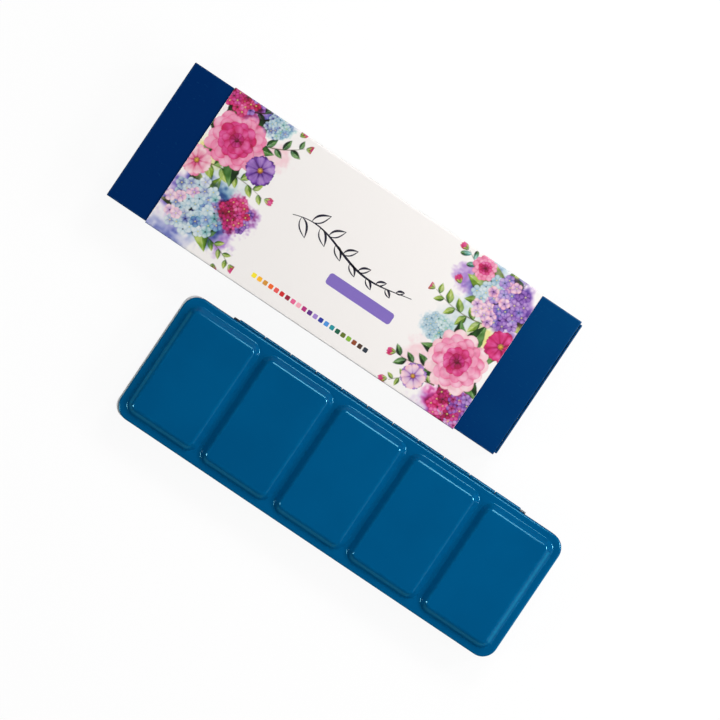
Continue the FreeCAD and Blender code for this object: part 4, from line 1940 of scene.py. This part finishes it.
@dataclass
class Band:
    """The printed band: a card sleeve round the case, with flowers in watercolor at both ends."""

    sheet: float = 0.4
    fold: float = 0.8
    pitch: float = 0.3
    stretch: float = 49.0
    ink_lift: float = 0.012
    ink_depth: float = 0.02
    film_depth: float = 0.05
    margin: float = 0.05
    foot: float = 0.6
    crease: float = 60.0
    patch_crease: float = 30.0
    sprig_start: Flat = (-61.0, 44.5)
    sprig_length: float = 72.0
    leaves: int = 12
    bar_middle: Flat = (-10.3, 31.0)
    bar_half: Flat = (19.0, 3.1)
    first_swatch: Flat = (-60.0, 11.5)
    swatch_half: float = 1.2
    swatch_pitch: float = 3.3

    def __post_init__(self) -> None:
        """Read the sleeve's place from the CAD node."""
        self.low, self.high = node_box("printed_band")
        self.top = self.high.z
        self.flat = self.high.y - self.low.y - 2 * self.fold
        self.arc = math.pi / 2 * self.fold
        self.side = self.top - 2 * self.fold

    def sleeve(self) -> None:
        """Fold the sleeve."""
        left, right, sheet = self.low.x, self.high.x, self.sheet
        plan = Plan.across(
            (self.low, self.high), self.fold, Lie.ALONG_X, taper=0.9, folds=True, steps=6,
            support=0.8,
        )
        shell = Shell("card_sleeve", Lie.ALONG_X)
        rings = shell.wall(plan, section([
            Turn(sheet, left + 6), Turn(sheet, left), Turn(0, left, 0.06), Turn(0, left + 1),
            Turn(0, right - 1), Turn(0, right, 0.06), Turn(sheet, right), Turn(sheet, right - 6),
        ], 2))
        shell.loft((rings[-1], rings[0]), 1)
        sleeve = shell.make([PRINT, BARE_BOARD])
        self.tint(sleeve, [PAPER_TONE] * len(sleeve.data.vertices))
        stand_for(sleeve, "printed_band")

    def tint(self, piece: Piece, tones: Sequence[Colour]) -> None:
        """Store the ink colour of each of a piece's points."""
        paint = piece.data.attributes.new("paint", "FLOAT_COLOR", "POINT")
        paint.data.foreach_set("color", np.c_[np.array(tones), np.ones(len(tones))].ravel())

    def print_on(self, piece: Piece, tones: Sequence[Colour]) -> None:
        """Colour a printed piece's points and let it move with the sleeve.

        Args:
            piece: The piece.
            tones: Its points' colours, or one colour for them all.
        """
        if len(tones) == 1:
            tones = tones * len(piece.data.vertices)
        self.tint(piece, tones)
        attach(piece, body_with("printed_band"))
        log.info("%s: %d faces", piece.name, len(piece.data.polygons))

    def wrapped(self, around: float, lift: float) -> Flat:
        """Say where a distance round the sleeve is.

        Args:
            around: The distance along the card from the top's front edge, towards the back. Less
                than 0 is down the front side, over the fold.
            lift: How far off the card the place is.

        Returns:
            Its Y and Z.
        """
        reach, front, back = self.fold + lift, self.low.y + self.fold, self.high.y - self.fold
        if 0 <= around <= self.flat:
            return (front + around, self.top + lift)
        past = -around if around < 0 else around - self.flat
        edge, side = (front, -1) if around < 0 else (back, 1)
        if past <= self.arc:
            angle = past / self.fold
            return (edge + side * reach * math.sin(angle), self.top - self.fold + reach * math.cos(angle))
        return (edge + side * reach, self.top - self.fold - (past - self.arc))

    def lay_print(self, painting: Painting, name: str) -> None:
        """Turn a painting into a film of ink that wraps over the sleeve's folds.

        Args:
            painting: The painting.
            name: The new piece's name.
        """
        shell = Shell(name)
        rings = []
        for around in painting.y[:, 0]:
            top, under = self.wrapped(around, self.ink_lift), self.wrapped(around, -self.film_depth)
            spots = [(x, *top) for x in painting.x[0]] + [(x, *under) for x in painting.x[0, [-1, 0]]]
            rings.append([shell.add_point(spot) for spot in spots])
        shell.loft(rings)
        shell.cap(rings)
        tones = np.concatenate([painting.tone, painting.tone[:, [-1, 0]]], axis=1)
        self.print_on(shell.make([PRINT], self.crease), tones.reshape(-1, 3))

    def stretch_at(self, left: float, seed: int) -> Painting:
        """Start a painting that goes round the sleeve from one side's foot to the other's."""
        down = self.arc + self.side - self.foot
        return Painting((left, -down), (self.stretch, self.flat + 2 * down), self.pitch, seed)

    def left_flowers(self) -> None:
        """Paint the flowers at the left end."""
        x = self.low.x + self.margin
        art = self.stretch_at(x, 11)
        pink = [(Ink.CRIMSON, Ink.BLUSH), (Ink.MAGENTA, Ink.BLUSH), (Ink.WINE, Ink.ROSE),
                (Ink.CRIMSON, Ink.ROSE), (Ink.WINE, Ink.MAGENTA)]
        blue = [(Ink.LILAC, Ink.SHELL), (Ink.PERIWINKLE, Ink.MIST), (Ink.SKY, Ink.MIST),
                (Ink.PERIWINKLE, Ink.SKY), (Ink.AQUA, Ink.MIST)]
        wine = [(Ink.MAGENTA, Ink.ROSE), (Ink.WINE, Ink.MAGENTA), (Ink.CRIMSON, Ink.ROSE),
                (Ink.VIOLET, Ink.LILAC)]
        green, dark = (Ink.SAP, Ink.LIME), (Ink.PINE, Ink.SAP)
        for spot, radius, ink in (((x + 22, 38), 13, Ink.MIST), ((x + 34, 14), 9, Ink.LILAC),
                                  ((x + 8, 46), 9, Ink.LEMON), ((x + 36, 62), 8, Ink.SHELL),
                                  ((x + 12, -8), 16, Ink.PERIWINKLE), ((x + 24, 88), 14, Ink.LILAC)):
            art.wash(spot, radius, ink, 0.8)
        art.spray((x + 6, 40), (x + 41, 41), 2.5, 9, (8.5, 4.4), Petal.LEAF, green)
        art.spray((x + 22, 62), (x + 45, 73), -2, 6, (7.5, 3.8), Petal.LEAF, dark)
        art.spray((x + 22, 10), (x + 45, 5), 2, 7, (7, 3.4), Petal.LEAF, green)
        art.spray((x + 14, 74), (x + 30, 92), -3, 7, (7, 3.4), Petal.LEAF, dark)
        art.tuft((x + 15, 58), (-24, 12, 62, 128, 176, 232, -66), 22, dark)
        art.tuft((x + 17, 20), (-48, 4, 36, 84, 126, 200), 21, green)
        for spot, angle in (((x + 46, 73.5), 20), ((x + 40, 77), 60), ((x + 42.5, 41.5), 5),
                            ((x + 46, 5), -30), ((x + 39, 1), -60)):
            art.bud(spot, angle, 4.8, (Ink.CRIMSON, Ink.ROSE))
        art.phlox((x + 17, 19), 15.5, blue, 44)
        art.phlox((x + 35, 27), 8.5, wine, 20)
        art.dahlia((x + 15, 58), 15.5, pink)
        art.cosmos((x + 33, 52), 7.5, (Ink.VIOLET, Ink.LILAC), (Ink.PLUM, Ink.VIOLET))
        art.cosmos((x + 4, 39), 7.5, (Ink.ROSE, Ink.SHELL), (Ink.MAGENTA, Ink.BLUSH))
        art.phlox((x + 7, 79), 10, wine, 24)
        art.phlox((x + 28, 75), 6.5, blue[1:], 16)
        art.dahlia((x + 34, -12), 10.0, pink)
        art.phlox((x + 13, -15), 12.0, [(Ink.VIOLET, Ink.LILAC), *blue[:3]], 28)
        art.dahlia((x + 26, 98), 11.0, pink)
        self.lay_print(art, "print_left")

    def right_flowers(self) -> None:
        """Paint the flowers at the right end."""
        x = self.high.x - self.margin
        art = self.stretch_at(x - self.stretch, 23)
        pink = [(Ink.MAGENTA, Ink.SHELL), (Ink.CRIMSON, Ink.BLUSH), (Ink.MAGENTA, Ink.BLUSH),
                (Ink.CRIMSON, Ink.ROSE), (Ink.WINE, Ink.MAGENTA)]
        rosy = [(Ink.MAGENTA, Ink.ROSE), (Ink.WINE, Ink.MAGENTA), (Ink.MAGENTA, Ink.LILAC),
                (Ink.VIOLET, Ink.LILAC)]
        pale = [(Ink.SKY, Ink.MIST), (Ink.LILAC, Ink.SHELL), (Ink.PERIWINKLE, Ink.LILAC),
                (Ink.VIOLET, Ink.LILAC)]
        green, dark = (Ink.SAP, Ink.LIME), (Ink.PINE, Ink.SAP)
        for spot, radius, ink in (((x - 26, 46), 12, Ink.MIST), ((x - 34, 20), 9, Ink.SHELL),
                                  ((x - 12, 44), 9, Ink.LEMON), ((x - 34, 66), 9, Ink.LILAC),
                                  ((x - 12, -8), 16, Ink.LILAC), ((x - 20, 90), 14, Ink.SKY)):
            art.wash(spot, radius, ink, 0.8)
        art.spray((x - 12, 52), (x - 45, 52), 3, 9, (8.5, 4.4), Petal.LEAF, green)
        art.spray((x - 20, 24), (x - 44, 15), 3, 7, (8, 4), Petal.LEAF, dark)
        art.spray((x - 18, 70), (x - 42, 77), 2, 8, (7, 3.6), Petal.GUM_LEAF, (Ink.AQUA, Ink.SAP))
        art.spray((x - 6, 44), (x - 9, 96), 2, 9, (7, 3.5), Petal.LEAF, dark)
        art.spray((x - 20, 12), (x - 40, 2), -2, 7, (6.5, 3.2), Petal.LEAF, green)
        art.tuft((x - 17, 28), (150, 186, 118, 84, 40, -30, -78, 232), 22, dark)
        art.tuft((x - 15, 64), (172, 132, 206, 96, -20), 20, green)
        for spot, angle in (((x - 46, 52), 180), ((x - 44.5, 15), 200), ((x - 43, 77), 165),
                            ((x - 37, 61), 140), ((x - 41, 2), 215)):
            art.bud(spot, angle, 4.8, (Ink.CRIMSON, Ink.ROSE))
        art.phlox((x - 15, 64), 14.5, pale, 42)
        art.phlox((x - 35, 37), 7.0, [(Ink.SKY, Ink.MIST), (Ink.AQUA, Ink.MIST)], 18)
        art.phlox((x - 7, 7), 11.5, rosy, 30)
        art.dahlia((x - 17, 28), 16.0, pink)
        art.cosmos((x - 3, 46), 8.0, (Ink.MAGENTA, Ink.ROSE), (Ink.WINE, Ink.MAGENTA))
        art.cosmos((x - 31, 10), 6.5, (Ink.LILAC, Ink.SHELL), (Ink.VIOLET, Ink.LILAC))
        art.dahlia((x - 31, 74), 6.5, pink[1:])
        art.phlox((x - 14, -16), 12.0, pale, 30)
        art.dahlia((x - 34, -12), 8.0, pink)
        art.dahlia((x - 20, 95), 11.0, rosy)
        self.lay_print(art, "print_right")

    def stroke(self, shell: Shell, line: Sequence[Flat], widths: Sequence[float]) -> None:
        """Draw one line of ink on the band's top.

        Args:
            shell: The shell that collects the drawing.
            line: The middle of the line.
            widths: Its width at each point.
        """
        rings = []
        low, high = self.top - self.ink_depth, self.top + self.ink_lift
        for place, (x, y) in enumerate(line):
            before, after = line[max(place - 1, 0)], line[min(place + 1, len(line) - 1)]
            way = Vector((after[0] - before[0], after[1] - before[1])).normalized() * widths[place] / 2
            left, right = (x - way.y, y + way.x), (x + way.y, y - way.x)
            corners = ((*left, low), (*left, high), (*right, high), (*right, low))
            rings.append([shell.add_point(corner) for corner in corners])
        shell.loft(rings)
        shell.cap(rings)

    def sprig(self) -> None:
        """Draw the ink sprig in the middle of the top, where the title would stand."""
        shell = Shell("ink_sprig")
        share = [place / 80 for place in range(81)]
        x, y = self.sprig_start
        sway = [5.5 * math.sin(math.tau * s * 0.95 + 0.5) * (1 - 0.55 * s) for s in share]
        stem = [(x + self.sprig_length * s, y + off) for s, off in zip(share, sway)]
        self.stroke(shell, stem, [0.4 + 0.8 * math.sin(math.pi * s) ** 2 for s in share])
        share = [place / 24 for place in range(25)]
        for leaf in range(self.leaves):
            x, y = stem[5 + leaf * 6]
            turn = math.radians((1 if leaf % 2 else -1) * (50 - leaf * 1.5))
            size = 10.5 - 0.55 * leaf
            for half, bold in ((1, 0.95), (-1, 0.5)):
                outline = []
                for s in share:
                    along, across = size * s, half * size * 0.18 * math.sin(math.pi * s**0.8)
                    outline.append((
                        x + along * math.cos(turn) - across * math.sin(turn),
                        y + along * math.sin(turn) + across * math.cos(turn),
                    ))
                self.stroke(shell, outline, [0.22 + bold * math.sin(math.pi * s) for s in share])
        self.print_on(shell.make([PRINT], self.crease), [from_screen(26, 22, 44)])

    def patch(self, name: str, plan: Plan) -> Piece:
        """Make a flat patch of ink on the top.

        Args:
            name: The new piece's name.
            plan: The patch's plan.

        Returns:
            The piece.
        """
        shell = Shell(name)
        shell.solid(plan, [Step(0, self.top - self.ink_depth), Step(0, self.top + self.ink_lift)])
        return shell.make([PRINT], self.patch_crease)

    def bar(self) -> None:
        """Print the plain lilac bar below the sprig."""
        bar = self.patch("lilac_bar", Plan(self.bar_middle, self.bar_half, 1.6, steps=6))
        self.print_on(bar, [from_screen(123, 101, 180)])

    def swatches(self) -> None:
        """Print a row of small swatches, one for each paint."""
        half = (self.swatch_half, self.swatch_half)
        plan = Plan(self.first_swatch, half, 0.5, steps=3, support=0.1)
        row = self.patch("paint_swatches", plan)
        each = len(row.data.vertices)
        grow(row, ROW, Count=len(Hue), Step=(self.swatch_pitch * MM, 0.0, 0.0), Finish=PRINT)
        shade(row.data, self.patch_crease)
        self.print_on(row, [hue.light for hue in Hue for _ in range(each)])

    def build(self) -> None:
        """Build the sleeve and everything printed on it."""
        self.sleeve()
        self.left_flowers()
        self.right_flowers()
        self.sprig()
        self.bar()
        self.swatches()


# ---- build -------------------------------------------------------------------------------------


def main() -> None:
    """Build the set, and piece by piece."""
    logging.basicConfig(level=logging.INFO, format="%(name)s: %(message)s")
    Studio().build()
    hinge = Hinge()
    Lid(hinge).build()
    Base(hinge).build()
    hinge.lay_pin()
    Rack().build()
    Pans().build()
    Carton().build()
    Band().build()


if __name__ == "__main__":
    main()
